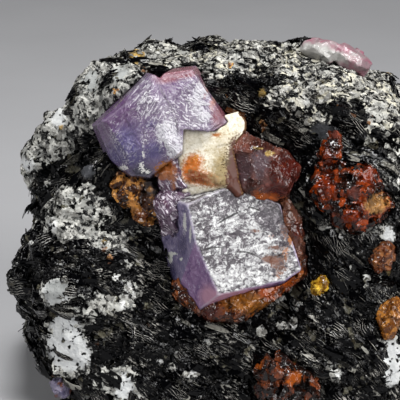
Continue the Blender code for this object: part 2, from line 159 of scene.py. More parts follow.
# %% [markdown]
# Soft noise alone makes rounded lumps. Broken stone has flat faces with sharp borders, so middles
# are scattered, one to a cell, and every place belongs to the nearest one. A flat face for each
# of them, tilted at random, is what a broken grain looks like.

# %% Grains and their broken faces
def grains(points, size, seed):
    """The nearest scattered middle of each point, among its own cell and the 26 around it: the
    middle's place and its cell."""
    place = points / size
    base = np.floor(place).astype(np.int64)
    nearest = np.full(len(points), np.inf)
    middles, cells = np.zeros_like(place), np.zeros_like(base)
    for step in np.ndindex(3, 3, 3):
        cell = base + np.array(step) - 1
        middle = cell + hashed_vectors(cell, seed)
        gap = np.linalg.norm(place - middle, axis=1)
        closer = gap < nearest
        nearest[closer], middles[closer], cells[closer] = gap[closer], middle[closer], cell[closer]
    return middles * size, cells


def facets(points, size, seed, slope, step):
    """A broken face for each grain: a random height plus a random slope away from its middle."""
    middles, cells = grains(points, size, seed)
    tilt = hashed_vectors(cells, seed + 11) - 0.5
    return 2.0 * slope * dots(points - middles, tilt) + step * (2.0 * hashed(cells, seed + 17) - 1.0)


# %% Steps and patches
def smooth_step(values, low, high):
    """0 below low, 1 above high, and an S between: t squared times (3 - 2t)."""
    part = np.clip((values - low) / (high - low), 0.0, 1.0)
    return part * part * (3.0 - 2.0 * part)


def patches(seen, table):
    """The sum of soft round patches: each one's strength times exp(-(distance / radius) ** 2)."""
    total = np.zeros(len(seen))
    for right, up, wide, tall, strength in table:
        reach = ((seen[:, 0] - right) / wide) ** 2 + ((seen[:, 1] - up) / tall) ** 2
        total += strength * np.exp(-reach)
    return total


# %% [markdown]
# ## Skins over the solids
# A solid has large triangles, and its broken surface needs small even ones to carry grain. A
# merged copy of the solid is remeshed on a grid of small cubes, which closes it and spreads its
# points evenly. Then the points are moved as whole arrays.

# %% A skin over a solid
def new_piece(name, mesh):
    """Puts a mesh into the scene as a piece."""
    piece = bpy.data.objects.new(name, mesh)
    bpy.context.scene.collection.objects.link(piece)
    return piece


def apply_modifiers(piece):
    """Gives a piece the mesh that its modifiers make of it, and removes them."""
    bpy.context.view_layer.update()
    done = bpy.data.meshes.new_from_object(
        piece.evaluated_get(bpy.context.evaluated_depsgraph_get())
    )
    piece.modifiers.clear()
    old, piece.data = piece.data, done
    bpy.data.meshes.remove(old)


def merged_copy(name, nodes):
    """One object with the merged triangles of some solids."""
    joined = bmesh.new()
    for node in nodes:
        joined.from_mesh(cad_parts[node].data)
    bmesh.ops.remove_doubles(joined, verts=joined.verts, dist=1e-6)
    mesh = bpy.data.meshes.new(name)
    joined.to_mesh(mesh)
    joined.free()
    return new_piece(name, mesh)


def skin(name, node, size):
    """A closed skin of quads about as wide as size over a solid's copy."""
    piece = merged_copy(name, [node])
    remesh = piece.modifiers.new("even quads", "REMESH")
    remesh.mode, remesh.voxel_size = "VOXEL", size * MM
    apply_modifiers(piece)
    return piece


# %% Points in and out
CLEARANCE = 0.01  # mm: how far every skin stays within the solids' box


def read_points(piece):
    """The places and the smooth normals of a piece's points, in mm."""
    count = len(piece.data.vertices)
    places, normals = np.empty(count * 3), np.empty(count * 3, np.float32)
    piece.data.vertices.foreach_get("co", places)
    piece.data.vertex_normals.foreach_get("vector", normals)
    return places.reshape(-1, 3) / MM, normals.reshape(-1, 3).astype(float)


def in_box(points):
    """Places in metres, moved into the solids' box where they lie outside it."""
    return np.clip(points, BOX_LOW + CLEARANCE, BOX_HIGH - CLEARANCE) * MM


def write_points(piece, points):
    """Puts points back, kept inside the solids' box."""
    piece.data.vertices.foreach_set("co", in_box(points).ravel())
    piece.data.update()


def set_field(piece, name, values):
    """A number for each point, which a material can read."""
    field = piece.data.attributes.new(name, "FLOAT", "POINT")
    field.data.foreach_set("value", np.asarray(values, np.float32))


# %% Finish a piece
def finish_piece(piece, look, stands_for=None, smooth=False):
    """Gives a piece its material and its body, and hides the solid that it stands for."""
    piece.data.materials.clear()
    piece.data.materials.append(look.material)
    piece.data.polygons.foreach_set("use_smooth", [smooth] * len(piece.data.polygons))
    piece.data.update()
    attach(piece, "root")
    if stands_for:
        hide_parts(stands_for)
    triangles = sum(len(face.vertices) - 2 for face in piece.data.polygons)
    print(f"{piece.name}: {triangles} triangles")


# %% [markdown]
# ## Materials written as sums
# A material is a graph of nodes. Written out one by one they hide the idea, so a value here is a
# small object whose +, - and * add Math nodes, and one method adds every other kind of node.

# %% Values that vary over a surface
def paint(red, green, blue):
    """A colour given as screen numbers from 0 to 255, as the light values that shaders use."""
    screen = np.array((red, green, blue)) / 255.0
    light = np.where(screen < 0.04045, screen / 12.92, ((screen + 0.055) / 1.055) ** 2.4)
    return (*light.tolist(), 1.0)


class Value:
    """A number or colour that varies over a surface. Arithmetic on numbers adds Math nodes."""

    def __init__(self, look, socket):
        self.look, self.socket = look, socket

    def _math(self, operation, *values):
        return self.look.add("ShaderNodeMath", {"operation": operation}, dict(enumerate(values)))[0]

    def __add__(self, other):
        return self._math("ADD", self, other)

    def __radd__(self, other):
        return self._math("ADD", other, self)

    def __sub__(self, other):
        return self._math("SUBTRACT", self, other)

    def __rsub__(self, other):
        return self._math("SUBTRACT", other, self)

    def __mul__(self, other):
        return self._math("MULTIPLY", self, other)

    def __rmul__(self, other):
        return self._math("MULTIPLY", other, self)

    def __abs__(self):
        return self._math("ABSOLUTE", self)

    def sine(self):
        """The sine of a number of radians."""
        return self._math("SINE", self)

    def between(self, low, high):
        """0 below low, 1 above high, and even between."""
        sockets = {"Value": self, "From Min": low, "From Max": high}
        return self.look.add("ShaderNodeMapRange", {"clamp": True}, sockets)[0]


class Added:
    """A node's outputs, by name or number."""

    def __init__(self, look, node):
        self.look, self.node = look, node

    def __getitem__(self, name):
        return Value(self.look, self.node.outputs[name])


# %% A look is a material that adds its own nodes
class Look:
    """A material, and the one way in which its nodes are added."""

    def __init__(self, name):
        self.material = bpy.data.materials.new(name)
        self.material.use_nodes = True
        self.tree = self.material.node_tree
        self.tree.nodes.clear()
        self.place = self.add("ShaderNodeTexCoord")["Object"]

    def add(self, kind, settings=(), sockets=()):
        """Adds a node: its type, then its settings, then its sockets' values or links."""
        node = self.tree.nodes.new(kind)
        for name, value in dict(settings).items():
            setattr(node, name, value)
        for name, value in dict(sockets).items():
            if isinstance(value, Value):
                self.tree.links.new(value.socket, node.inputs[name])
            else:
                node.inputs[name].default_value = value
        return Added(self, node)

    def noise(self, size, detail=4.0, roughness=0.55, warp=0.0, place=None):
        """Noise from 0 to 1 whose largest lumps are about as wide as size."""
        sockets = {"Vector": place or self.place, "Scale": 1.0 / (size * MM), "Detail": detail}
        sockets.update({"Roughness": roughness, "Distortion": warp})
        return self.add("ShaderNodeTexNoise", {}, sockets)["Fac"]

    def vector_math(self, operation, *vectors, **sockets):
        """A Vector Math node. Its outputs are a vector, 0, and a number, "Value"."""
        sockets.update(enumerate(vectors))
        return self.add("ShaderNodeVectorMath", {"operation": operation}, sockets)

    def stretched(self, along, factor):
        """Places pressed together along a direction, so that patterns on them are long there."""
        along = along / np.linalg.norm(along)
        dot = self.vector_math("DOT_PRODUCT", self.place, along)["Value"]
        shift = self.vector_math("SCALE", along * (1.0 / factor - 1.0), Scale=dot)[0]
        return self.vector_math("ADD", self.place, shift)[0]

    def waves(self, along, spacing, wander, size):
        """Ripples across a direction: the sine of the place along it, shifted by soft noise."""
        along = along / np.linalg.norm(along) * (2.0 * math.pi / (spacing * MM))
        dot = self.vector_math("DOT_PRODUCT", self.place, along)["Value"]
        shifted = dot + wander * self.noise(size, 2.0, 0.5, 0.8)
        return 0.5 + 0.5 * shifted.sine()

    def field(self, name):
        """A number that the piece's points carry."""
        return self.add("ShaderNodeAttribute", {"attribute_name": name})["Fac"]

    def mix(self, factor, first, second):
        """The first colour where the factor is 0, the second where it is 1. Each is a value or a
        colour given as screen numbers."""
        first, second = (paint(*side) if isinstance(side, tuple) else side for side in (first, second))
        sockets = {0: factor, 6: first, 7: second}
        return self.add("ShaderNodeMix", {"data_type": "RGBA"}, sockets)[2]

    def bump(self, height, depth, strength=1.0):
        """Tilts the surface as a height would, whose full range is as deep as depth."""
        sockets = {"Height": height, "Distance": depth * MM, "Strength": strength}
        return self.add("ShaderNodeBump", {}, sockets)["Normal"]

    def relief(self, size, depth):
        """A bump of soft lumps about as wide as size, with nothing finer than the eye resolves."""
        return self.bump(self.noise(size, 1.5, 0.5, 1.0), depth)

    def finish(self, **sockets):
        """Closes the material with one glossy surface."""
        named = {name.replace("_", " "): value for name, value in sockets.items()}
        surface = self.add("ShaderNodeBsdfPrincipled", {}, named)["BSDF"]
        self.add("ShaderNodeOutputMaterial", {}, {"Surface": surface})
        return self


# %% [markdown]
# ## The dark rock
# The rock is mica schist: stacks of black flakes, broken across so that each stack shows its
# edges, with patches of white feldspar that broke into sugary grains. A texture alone would look
# printed, because every grain catches the light on its own. So the skin's points are moved: a
# stack is a cell with long facets along one direction, and feldspar is a field of small tilted
# grains. Where the rock meets a crystal it keeps its place.

# %% Where the feldspar is
# Each patch is (right, up, half width, half height, strength), in mm as the eye sees it.
FELDSPAR = (
    # the left slope
    (-20.2, -3.6, 5.6, 3.6, 1.0), (-25.5, -5.0, 3.4, 3.6, 0.8), (-21.6, 0.6, 4.6, 2.0, 0.7),
    (-18.0, -7.6, 3.2, 1.5, 1.2), (-13.6, -9.4, 1.9, 3.2, 0.8),
    # the grey plate
    (-25.9, -16.3, 2.2, 2.0, 1.6),
    # the white patch
    (-24.3, -24.6, 2.9, 5.2, 1.5), (-22.6, -28.0, 3.6, 2.6, 1.2), (-19.4, -19.8, 2.2, 3.0, 1.1),
    (-12.6, -16.4, 2.4, 2.2, 0.9), (-15.2, -18.6, 1.9, 1.2, 1.2), (-13.6, -33.6, 2.6, 3.4, 1.3),
    (-17.4, -33.4, 3.0, 2.4, 0.6), (-24.0, -35.0, 3.0, 2.0, 0.5),
    # a bright fleck
    (-1.7, -31.5, 1.2, 0.8, 1.4), (-5.0, -30.6, 1.4, 0.6, 0.9), (-9.2, -28.6, 1.4, 0.5, 0.9),
    # the far left shoulder
    (-31.0, 15.0, 4.5, 6.0, 1.2), (-26.0, 12.0, 4.5, 4.0, 1.1), (-30.4, 7.6, 4.0, 3.6, 1.0),
    (-19.6, 21.6, 3.4, 4.0, 1.5), (-14.2, 20.6, 3.6, 3.4, 1.5), (-21.0, 15.2, 4.0, 2.0, 1.2),
    (-7.6, 26.6, 3.4, 2.2, 1.4), (-4.0, 25.4, 6.0, 1.8, 0.8),
    # the far top
    (6.0, 25.6, 5.0, 3.4, 1.4), (14.0, 26.4, 6.0, 2.6, 1.1), (18.0, 23.4, 4.0, 3.2, 1.1),
    (21.0, 27.0, 3.4, 2.0, 1.3), (30.0, 22.6, 5.0, 3.0, 0.9), (34.0, 15.6, 4.0, 3.4, 0.7),
    # the brow
    (17.6, 17.8, 2.6, 1.8, 1.6), (21.0, 19.6, 6.0, 1.5, 1.4), (27.6, 19.8, 5.6, 1.4, 1.5),
    (33.0, 17.2, 3.4, 1.5, 1.2), (11.2, 17.8, 4.2, 1.2, 0.7), (21.0, 14.8, 2.8, 2.4, 1.0),
    (30.4, 12.6, 1.1, 2.6, 1.0), (35.0, 13.8, 1.8, 2.4, 0.9),
    # the right
    (30.6, -4.4, 1.6, 1.6, 1.1), (34.0, -6.0, 1.8, 2.0, 1.4), (35.0, 4.6, 1.2, 4.6, 0.9),
    (34.0, -25.6, 1.8, 1.6, 1.3), (34.6, -30.4, 2.4, 3.6, 1.2), (32.2, -13.6, 1.4, 1.6, 0.8),
    (27.8, -12.0, 0.9, 1.3, 0.9), (14.6, -15.6, 2.6, 2.2, 0.5), (24.0, -31.0, 1.2, 1.6, 1.0),
    (-10.0, -5.6, 3.0, 1.6, 0.55),
)

# %% [markdown]
# Iron from the weathering mica stains the feldspar beside it, rusty brown where there is much of
# it and ochre where there is little. Both stains are patches of the same kind, because they lie
# over the grain and don't follow it.

# %% Where the stains are
RUST = (
    (-17.4, -8.8, 0.8, 0.8, 0.9), (-16.2, -10.6, 1.2, 1.2, 0.8), (-12.6, 3.2, 2.2, 3.4, 0.9),
    (-9.8, 23.0, 2.0, 1.0, 0.7), (-15.0, 19.4, 1.2, 0.9, 0.8), (5.6, 24.0, 1.0, 0.7, 1.0),
    (8.0, 16.2, 2.0, 1.0, 0.8), (4.6, 18.6, 1.6, 1.4, 0.7), (11.4, 13.6, 0.9, 1.4, 1.1),
    (25.4, 16.6, 1.4, 1.6, 0.7), (30.6, 14.6, 1.0, 1.6, 0.7), (-9.2, -22.6, 0.6, 1.0, 0.8),
    (-18.6, -26.0, 0.8, 2.0, 0.6), (-26.6, -32.0, 0.9, 1.6, 0.9), (31.0, -1.2, 2.6, 1.8, 0.9),
    (34.0, -17.0, 0.9, 1.0, 0.6), (23.4, -21.0, 2.0, 1.4, 0.5), (7.0, -21.6, 2.6, 1.0, 0.6),
    (22.4, -8.0, 1.6, 1.6, 0.5),
)
OCHRE = (
    (-11.4, 25.8, 1.6, 1.8, 1.3), (-7.6, 24.0, 2.4, 1.0, 0.8), (11.2, 19.2, 1.0, 1.1, 1.2),
    (5.0, 24.6, 1.2, 0.8, 0.8), (-17.2, -7.4, 0.9, 0.9, 1.0), (-19.6, -14.2, 2.6, 0.7, 0.7),
    (-24.9, 13.0, 1.0, 1.1, 0.9), (34.0, -13.2, 1.0, 1.6, 0.8), (10.2, -26.2, 1.0, 0.8, 0.7),
    (-18.8, -28.6, 0.5, 2.4, 0.7), (17.0, -29.4, 1.0, 1.2, 0.8),
)

# %% [markdown]
# Not all of the feldspar is sugary. Some patches broke along one clean face, some of those are
# grey, and two dark plates are single large faces of hornblende. Single white bits, a millimetre
# or two across, sit between the mica. Each kind is a table of its own, because each changes
# something else: the relief, the tint, or where feldspar is.

# %% Where the clean faces and the single bits are
SMOOTH = (
    (-25.9, -16.3, 2.1, 1.9, 1.6), (-24.3, -24.6, 3.0, 5.2, 1.3), (-22.6, -28.0, 3.4, 2.6, 1.0),
    (34.6, -29.4, 2.6, 4.4, 1.2), (-13.6, -33.6, 2.4, 3.4, 0.9), (18.0, 17.8, 2.2, 1.6, 0.9),
    (34.0, -6.0, 1.8, 2.0, 0.9), (-19.6, 21.6, 2.0, 2.4, 0.8), (-14.6, 22.6, 2.2, 1.6, 0.8),
    (-25.4, 14.8, 2.2, 2.8, 0.8), (-31.0, 6.4, 1.8, 2.2, 0.8),
)
BITS = (
    # the lower right
    (24.3, -31.6, 1.3, 1.6, 1.2), (10.9, -23.7, 0.9, 1.2, 1.1), (17.0, -21.6, 0.4, 1.6, 1.1),
    (20.5, -31.1, 1.0, 0.6, 1.1), (14.6, -17.8, 1.4, 0.8, 1.0), (17.6, -18.8, 1.2, 1.0, 0.9),
    (15.4, -22.6, 2.4, 1.2, 0.8), (30.0, -14.0, 0.9, 0.9, 1.1), (22.8, -4.7, 1.3, 0.8, 1.0),
    (25.5, -6.6, 0.6, 0.8, 1.0), (20.3, -1.8, 0.7, 0.7, 1.0),
    # the bottom
    (-1.6, -31.1, 1.2, 1.0, 1.5), (-4.9, -30.0, 0.9, 0.8, 1.3), (-4.0, -27.8, 0.8, 0.8, 1.1),
    (-7.3, -29.1, 0.8, 0.5, 1.1), (1.2, -25.6, 0.8, 0.9, 1.2), (-0.2, -35.2, 0.5, 0.8, 1.1),
    # the left
    (-14.0, -18.9, 0.7, 0.9, 1.3), (-12.5, -16.2, 1.6, 2.2, 1.0), (-13.4, -9.9, 0.7, 1.5, 1.2),
    (-13.0, -5.9, 0.9, 0.9, 1.0), (-15.0, -13.9, 0.9, 0.7, 1.2), (-18.5, -16.9, 0.7, 0.7, 1.2),
    (-7.6, -9.0, 1.0, 1.0, 0.9), (-26.5, -4.5, 1.3, 2.1, 1.1), (-27.3, 3.0, 0.7, 0.9, 1.1),
    (-30.6, 3.6, 0.6, 1.3, 1.1), (-30.4, -7.9, 0.6, 0.7, 1.1),
)
GREY_PLATE = (
    (-25.9, -16.3, 2.1, 1.9, 1.6), (15.2, -19.6, 3.4, 2.6, 0.9), (-19.6, 21.6, 2.4, 2.8, 1.0),
    (-14.6, 22.6, 2.4, 2.0, 0.8), (-25.4, 14.8, 2.2, 2.8, 0.5), (34.6, -29.4, 2.8, 4.6, 0.52),
)
DARK_PLATE = ((22.0, 12.4, 2.4, 1.9, 1.5), (-20.0, 5.2, 2.0, 1.5, 1.3))
print(len(FELDSPAR) + len(BITS), "feldspar patches and", len(RUST + OCHRE), "stains are placed")

# %% [markdown]
# The rock's points need to know how far they are from the crystals. Comparing each point with
# each crystal face in Python would be slow, so a Geometry Nodes step measures it and leaves the
# answer on the points.

# %% Distance from the crystals
CRYSTALS = sorted(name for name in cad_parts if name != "matrix")


def gap_to(piece, nodes):
    """How far each point of a piece is, in mm, from the nearest surface of some solids."""
    others = merged_copy("neighbours", nodes)
    tree = bpy.data.node_groups.new("gap", "GeometryNodeTree")
    for direction in ("INPUT", "OUTPUT"):
        tree.interface.new_socket("Geometry", in_out=direction, socket_type="NodeSocketGeometry")
    entry, leave, source, near, store = (
        tree.nodes.new(kind)
        for kind in (
            "NodeGroupInput",
            "NodeGroupOutput",
            "GeometryNodeObjectInfo",
            "GeometryNodeProximity",
            "GeometryNodeStoreNamedAttribute",
        )
    )
    source.inputs["Object"].default_value = others
    store.inputs["Name"].default_value = "gap"
    tree.links.new(source.outputs["Geometry"], near.inputs[0])
    tree.links.new(entry.outputs[0], store.inputs["Geometry"])
    tree.links.new(near.outputs["Distance"], store.inputs["Value"])
    tree.links.new(store.outputs["Geometry"], leave.inputs[0])
    step = piece.modifiers.new("gap", "NODES")
    step.node_group = tree
    apply_modifiers(piece)
    gap = np.empty(len(piece.data.vertices), np.float32)
    piece.data.attributes["gap"].data.foreach_get("value", gap)
    piece.data.attributes.remove(piece.data.attributes["gap"])
    bpy.data.objects.remove(others, do_unlink=True)
    bpy.data.node_groups.remove(tree)
    return gap / MM


# %% [markdown]
# Mica flakes lie side by side and run in bundles that swing round over the rock. A few rows say
# which way the bundles run at places on the front, and every other place takes the average of the
# rows near it. Angles are doubled before they are averaged, because a flake that points left runs
# the same way as one that points right.

# %% The way the mica runs
# Each row is a place on the front (right, up), the way its flakes run in degrees, and its reach.
FLOW = (
    (25.0, -4.0, -52.0, 9.0), (20.0, -12.0, -50.0, 8.0), (0.0, -26.0, -14.0, 12.0),
    (22.0, -28.0, -35.0, 10.0), (-12.0, -22.0, -38.0, 8.0), (-6.0, -34.0, -20.0, 9.0),
    (-22.0, 2.0, 42.0, 7.0), (-18.0, -13.0, -10.0, 7.0), (-21.0, 9.0, 35.0, 6.0),
    (14.0, 12.0, -25.0, 6.0), (21.0, 6.0, -60.0, 5.0), (28.0, 12.0, -15.0, 8.0),
    (16.0, 18.0, 12.0, 6.0), (30.0, 17.0, -20.0, 7.0), (-16.0, 2.0, -70.0, 4.0),
)


def flow_angle(points):
    """The way flakes run as seen, in radians: the doubled angles of the nearby rows averaged."""
    place = as_seen(points)
    total = np.zeros((len(points), 2))
    for right, up, angle, reach in FLOW:
        weight = np.exp(-(((place - (right, up)) / reach) ** 2).sum(axis=1))
        doubled = math.radians(2.0 * angle)
        total += weight[:, None] * (math.cos(doubled), math.sin(doubled))
    return 0.5 * np.arctan2(total[:, 1], total[:, 0]) + 0.6 * soft_noise(points, 14.0, 71, 2)


def flow(points, normals):
    """The way flakes run, laid on the surface."""
    angle = flow_angle(points)
    return laid_on(np.cos(angle)[:, None] * RIGHT + np.sin(angle)[:, None] * UP, normals)


# %% [markdown]
# The rock's own skin comes first. Quads of 0.44 mm are small enough for a grain of 1.4 mm to keep
# its corners, and few enough for one piece.

# %% The rock's skin
ROCK_QUAD = 0.44  # mm
rock = skin("rock_skin", "matrix", ROCK_QUAD)
rock_gap = gap_to(rock, CRYSTALS)
rock_points, rock_normals = read_points(rock)
seen = as_seen(rock_points)
facing = smooth_step(rock_normals @ OUT, -0.25, 0.15)
print(f"{facing.mean():.0%} of the rock's {len(rock_points)} points face the front")

# %% [markdown]
# Feldspar is where the placed patches are on the front, and in drifting lumps elsewhere. A random
# number for each grain and a rough noise are added before the border is drawn, so that the
# patches end in ragged blocks. The stains follow their patches on the front and soft noise behind.

# %% Spread the feldspar and the stains
elsewhere = 0.42 + 0.9 * soft_noise(rock_points, 11.0, 2, octaves=2)
white = facing * np.minimum(patches(seen, FELDSPAR), 0.95) + (1.0 - facing) * elsewhere
white += 0.50 * (hashed(grains(rock_points, 1.5, 81)[1], 83) - 0.5)
white += 0.65 * soft_noise(rock_points, 4.6, 4, octaves=4) - 0.04
white = np.maximum(white, facing * patches(seen, BITS))
is_white = smooth_step(white, 0.48, 0.60)
rust_behind = smooth_step(soft_noise(rock_points, 8.0, 6), 0.30, 0.55)
stained = facing * patches(seen, RUST) + (1.0 - facing) * rust_behind
ochre_behind = smooth_step(soft_noise(rock_points, 7.0, 12), 0.35, 0.6)
ochre = facing * patches(seen, OCHRE) + (1.0 - facing) * ochre_behind
dark_plate = facing * smooth_step(patches(seen, DARK_PLATE), 0.55, 0.9)
smooth_part = np.maximum(facing * smooth_step(patches(seen, SMOOTH), 0.35, 0.7), dark_plate)
print(f"{is_white.mean():.0%} of the rock's points are feldspar")

# %% [markdown]
# A stack of mica is a cell 5 mm wide with its own direction, and its facets are pressed together
# along it, so that they come out long, like the edges of pages. Feldspar's facets are as wide as
# they are long. The height is kept down beside a crystal and at the flat base.

# %% Break the rock
STACK = 5.0  # mm across one stack of mica
PAGE = 1.15  # mm across one broken bundle of its pages
SUGAR = 1.35  # mm across one grain of feldspar
stack_middles, stack_cells = grains(rock_points, STACK, 21)
stack_along = unit(hashed_vectors(stack_cells, 31) - 0.5 + 0.6 * (RIGHT - 0.25 * UP))
inside = rock_points - stack_middles
along_it = dots(inside, stack_along)
pressed = inside - 0.68 * along_it[:, None] * stack_along + 50.0 * stack_cells
mica_height = facets(pressed, PAGE, 41, 0.55, 0.20) + 0.35 * (hashed(stack_cells, 47) - 0.5)
grain_height = facets(rock_points, SUGAR, 51, 0.34, 0.14) + 0.15
shape = 0.55 * soft_noise(rock_points, 4.5, 8, octaves=2)
height = shape + np.where(is_white > 0.5, grain_height, mica_height) * (1.0 - 0.8 * smooth_part)
height = height * smooth_step(rock_gap, 0.25, 1.2) + 0.15 * smooth_step(-rock_gap, -1.2, -0.6)
height *= smooth_step(rock_points[:, 2], 0.0, 1.5)
rock_shape = rock_points + rock_normals * height[:, None]
write_points(rock, rock_shape)
print(f"the broken rock moves by {height.min():.2f} to {height.max():.2f} mm")

# %% [markdown]
# The material can't work these patterns out again, so the points carry them as named numbers. The
# direction of the flakes is carried as five weights, one for each of five streak directions,
# because an angle can't be averaged between neighbouring points.

# %% Numbers for the rock's material
grain_tone = hashed(grains(rock_points, SUGAR, 51)[1], 61)
set_field(rock, "white", np.clip(white, 0.0, 1.5))
set_field(rock, "stain", np.clip(stained, 0.0, 1.5))
set_field(rock, "tone", grain_tone)
set_field(rock, "ochre", np.clip(ochre, 0.0, 1.5))
set_field(rock, "smooth part", smooth_part)
set_field(rock, "cream", smooth_step(seen[:, 1], 8.0, 14.0) * smooth_step(seen[:, 0], -12.0, 0.0))
STREAK_ANGLES = (-60.0, -30.0, 0.0, 30.0, 75.0)
angle = flow_angle(rock_points)
for way in STREAK_ANGLES:
    off = np.abs((angle - math.radians(way) + math.pi / 2.0) % math.pi - math.pi / 2.0)
    set_field(rock, f"streak {way:.0f}", smooth_step(-off, -math.radians(26.0), -math.radians(10.0)))
set_field(rock, "dark plate", dark_plate)
set_field(rock, "bits", facing * smooth_step(patches(seen, BITS), 0.55, 0.95))
set_field(rock, "grey plate", facing * smooth_step(patches(seen, GREY_PLATE), 0.35, 0.7))
print("the flakes' streaks run at", STREAK_ANGLES, "degrees")

# %% [markdown]
# The rock's material chooses between minerals. The points say roughly where the feldspar is, and
# fine noise added to that number makes its border ragged at a size smaller than the mesh. Dark
# specks are holes where mica shows through, and on the brow they are drawn out into laths.

# %% Where the rock's material is feldspar
rock_look = Look("rock")
fine = rock_look.noise(1.0, detail=7.0, roughness=0.72)
finer = rock_look.noise(0.30, detail=3.0)
speck = rock_look.noise(1.2, detail=6.0, roughness=0.72)
tone = rock_look.field("tone")
even = rock_look.field("smooth part")
is_feldspar = (rock_look.field("white") + 1.0 * (fine - 0.5)).between(0.54, 0.57)
brow = rock_look.field("cream")
hole = (speck - 0.2 * finer - 0.05 * even).between(0.418, 0.431)
downhill = rock_look.stretched(0.94 * RIGHT - 0.34 * UP, 3.0)
lath = rock_look.noise(1.1, 3.0, 0.6, 0.6, downhill)
hole = hole + (1.0 - hole) * (lath + 0.06 * brow).between(0.585, 0.60) * brow
is_feldspar = is_feldspar * (1.0 - hole)

# %% [markdown]
# Feldspar is white where it is clean, grey where it is clear enough to let the dark mica show
# through, and warm on the brow, where it is a little weathered. Each tint is mixed over the last,
# the way a painter glazes, and the fine dirt over them is thinnest on the cleanest faces.

# %% The feldspar's tints
pale = rock_look.mix(tone + 0.6 * (fine - 0.5), (106, 107, 105), (196, 195, 188))
clean = rock_look.mix(fine.between(0.3, 0.7), (186, 188, 190), (222, 223, 220))
pale = rock_look.mix(even, pale, clean)
dirt_free = (finer + 0.2 * tone + 0.2 * even).between(0.30, 0.5)
pale = rock_look.mix(dirt_free, (112, 110, 104), pale)
warm = rock_look.noise(4.0, detail=2.0).between(0.40, 0.6) * brow
pale = rock_look.mix(0.7 * warm, pale, (208, 202, 180))
pale = rock_look.mix(0.85 * rock_look.field("grey plate"), pale, (134, 136, 134))
pale = rock_look.mix(0.8 * rock_look.field("bits"), pale, (226, 226, 224))

# %% [markdown]
# Mica is black. Where light would catch the edges of its pages it glints, and these glints are
# painted highlights: thin pale lines along the flakes, in bundles, with small grey painted glints
# among them. So streak lines run each of the five ways, the points' weights choose among them,
# and a large noise keeps them to bundles. Patches of olive murk are mica that has begun to
# weather.

# %% The mica's tints and painted glints
dark = rock_look.mix(fine.between(0.5, 0.8), (2, 2, 3), (10, 9, 9))
painted_glint_streaks = 0.0
for way in STREAK_ANGLES:
    streak = rock_look.noise(0.42, 3.0, 0.6, 0.8, rock_look.stretched(heading(way), 6.0))
    painted_glint_streaks = painted_glint_streaks + rock_look.field(f"streak {way:.0f}") * (streak - 0.5)
bundle = rock_look.noise(4.2, detail=4.0).between(0.53, 0.59)
# Painted glints: grey flecks in the bundles, then pale streak lines along the page edges.
dark = rock_look.mix((finer - 0.5 * tone).between(0.50, 0.54) * bundle, dark, (64, 61, 57))
dark = rock_look.mix(painted_glint_streaks.between(0.06, 0.11) * (0.06 + 0.94 * bundle), dark, (156, 153, 146))
murk = rock_look.noise(3.4, detail=5.0)
olive = rock_look.mix(speck.between(0.4, 0.6), (44, 38, 26), (112, 109, 94))
dark = rock_look.mix(0.8 * murk.between(0.62, 0.65), dark, olive)

# %% The stains over both, and the surface
colour = rock_look.mix(is_feldspar, dark, pale)
rusty = rock_look.mix(speck.between(0.35, 0.65), (70, 32, 12), (156, 96, 46))
stain = (rock_look.field("stain") + 1.4 * (fine - 0.5)).between(0.6, 0.95)
colour = rock_look.mix(stain * (0.3 + 0.6 * is_feldspar), colour, rusty)
yellow = rock_look.mix(speck.between(0.35, 0.65), (122, 90, 40), (206, 176, 104))
sallow = (rock_look.field("ochre") + 1.3 * (fine - 0.5)).between(0.55, 0.9)
colour = rock_look.mix(sallow * (0.4 + 0.6 * is_feldspar), colour, yellow)
plate = rock_look.mix(fine, (46, 47, 50), (72, 73, 76))
colour = rock_look.mix(rock_look.field("dark plate"), colour, plate)
rough = 0.10 + 0.36 * is_feldspar + 0.2 * stain
rock_look.finish(
    Base_Color=colour,
    Roughness=rough,
    Specular_IOR_Level=0.13,
    Normal=rock_look.relief(0.8, 0.26),
)
# The flat base needs few triangles, so collapsing the flattest edges first spares the rest.
KEPT_SHARE = 0.60  # of the rock's triangles
thin = rock.modifiers.new("thin", "DECIMATE")
thin.ratio = KEPT_SHARE
apply_modifiers(rock)
finish_piece(rock, rock_look, "matrix")


# %% [markdown]
# ## Mica flakes
# Broken mica shows as thin curved blades whose edges glint. They are too thin for the skin, so
# they are a piece of their own: thousands of ribbons, each a flat strip carried along a short
# bent path. The strip's four corners at four stations are one array, so all the ribbons are made
# at once.

# %% Ribbons
STATIONS = 4
rng = np.random.default_rng(7)


def piece_of_quads(name, points, faces):
    """A piece from arrays of points, in mm, and of quads."""
    mesh = bpy.data.meshes.new(name)
    mesh.from_pydata(in_box(points), [], faces)
    mesh.validate()
    return new_piece(name, mesh)


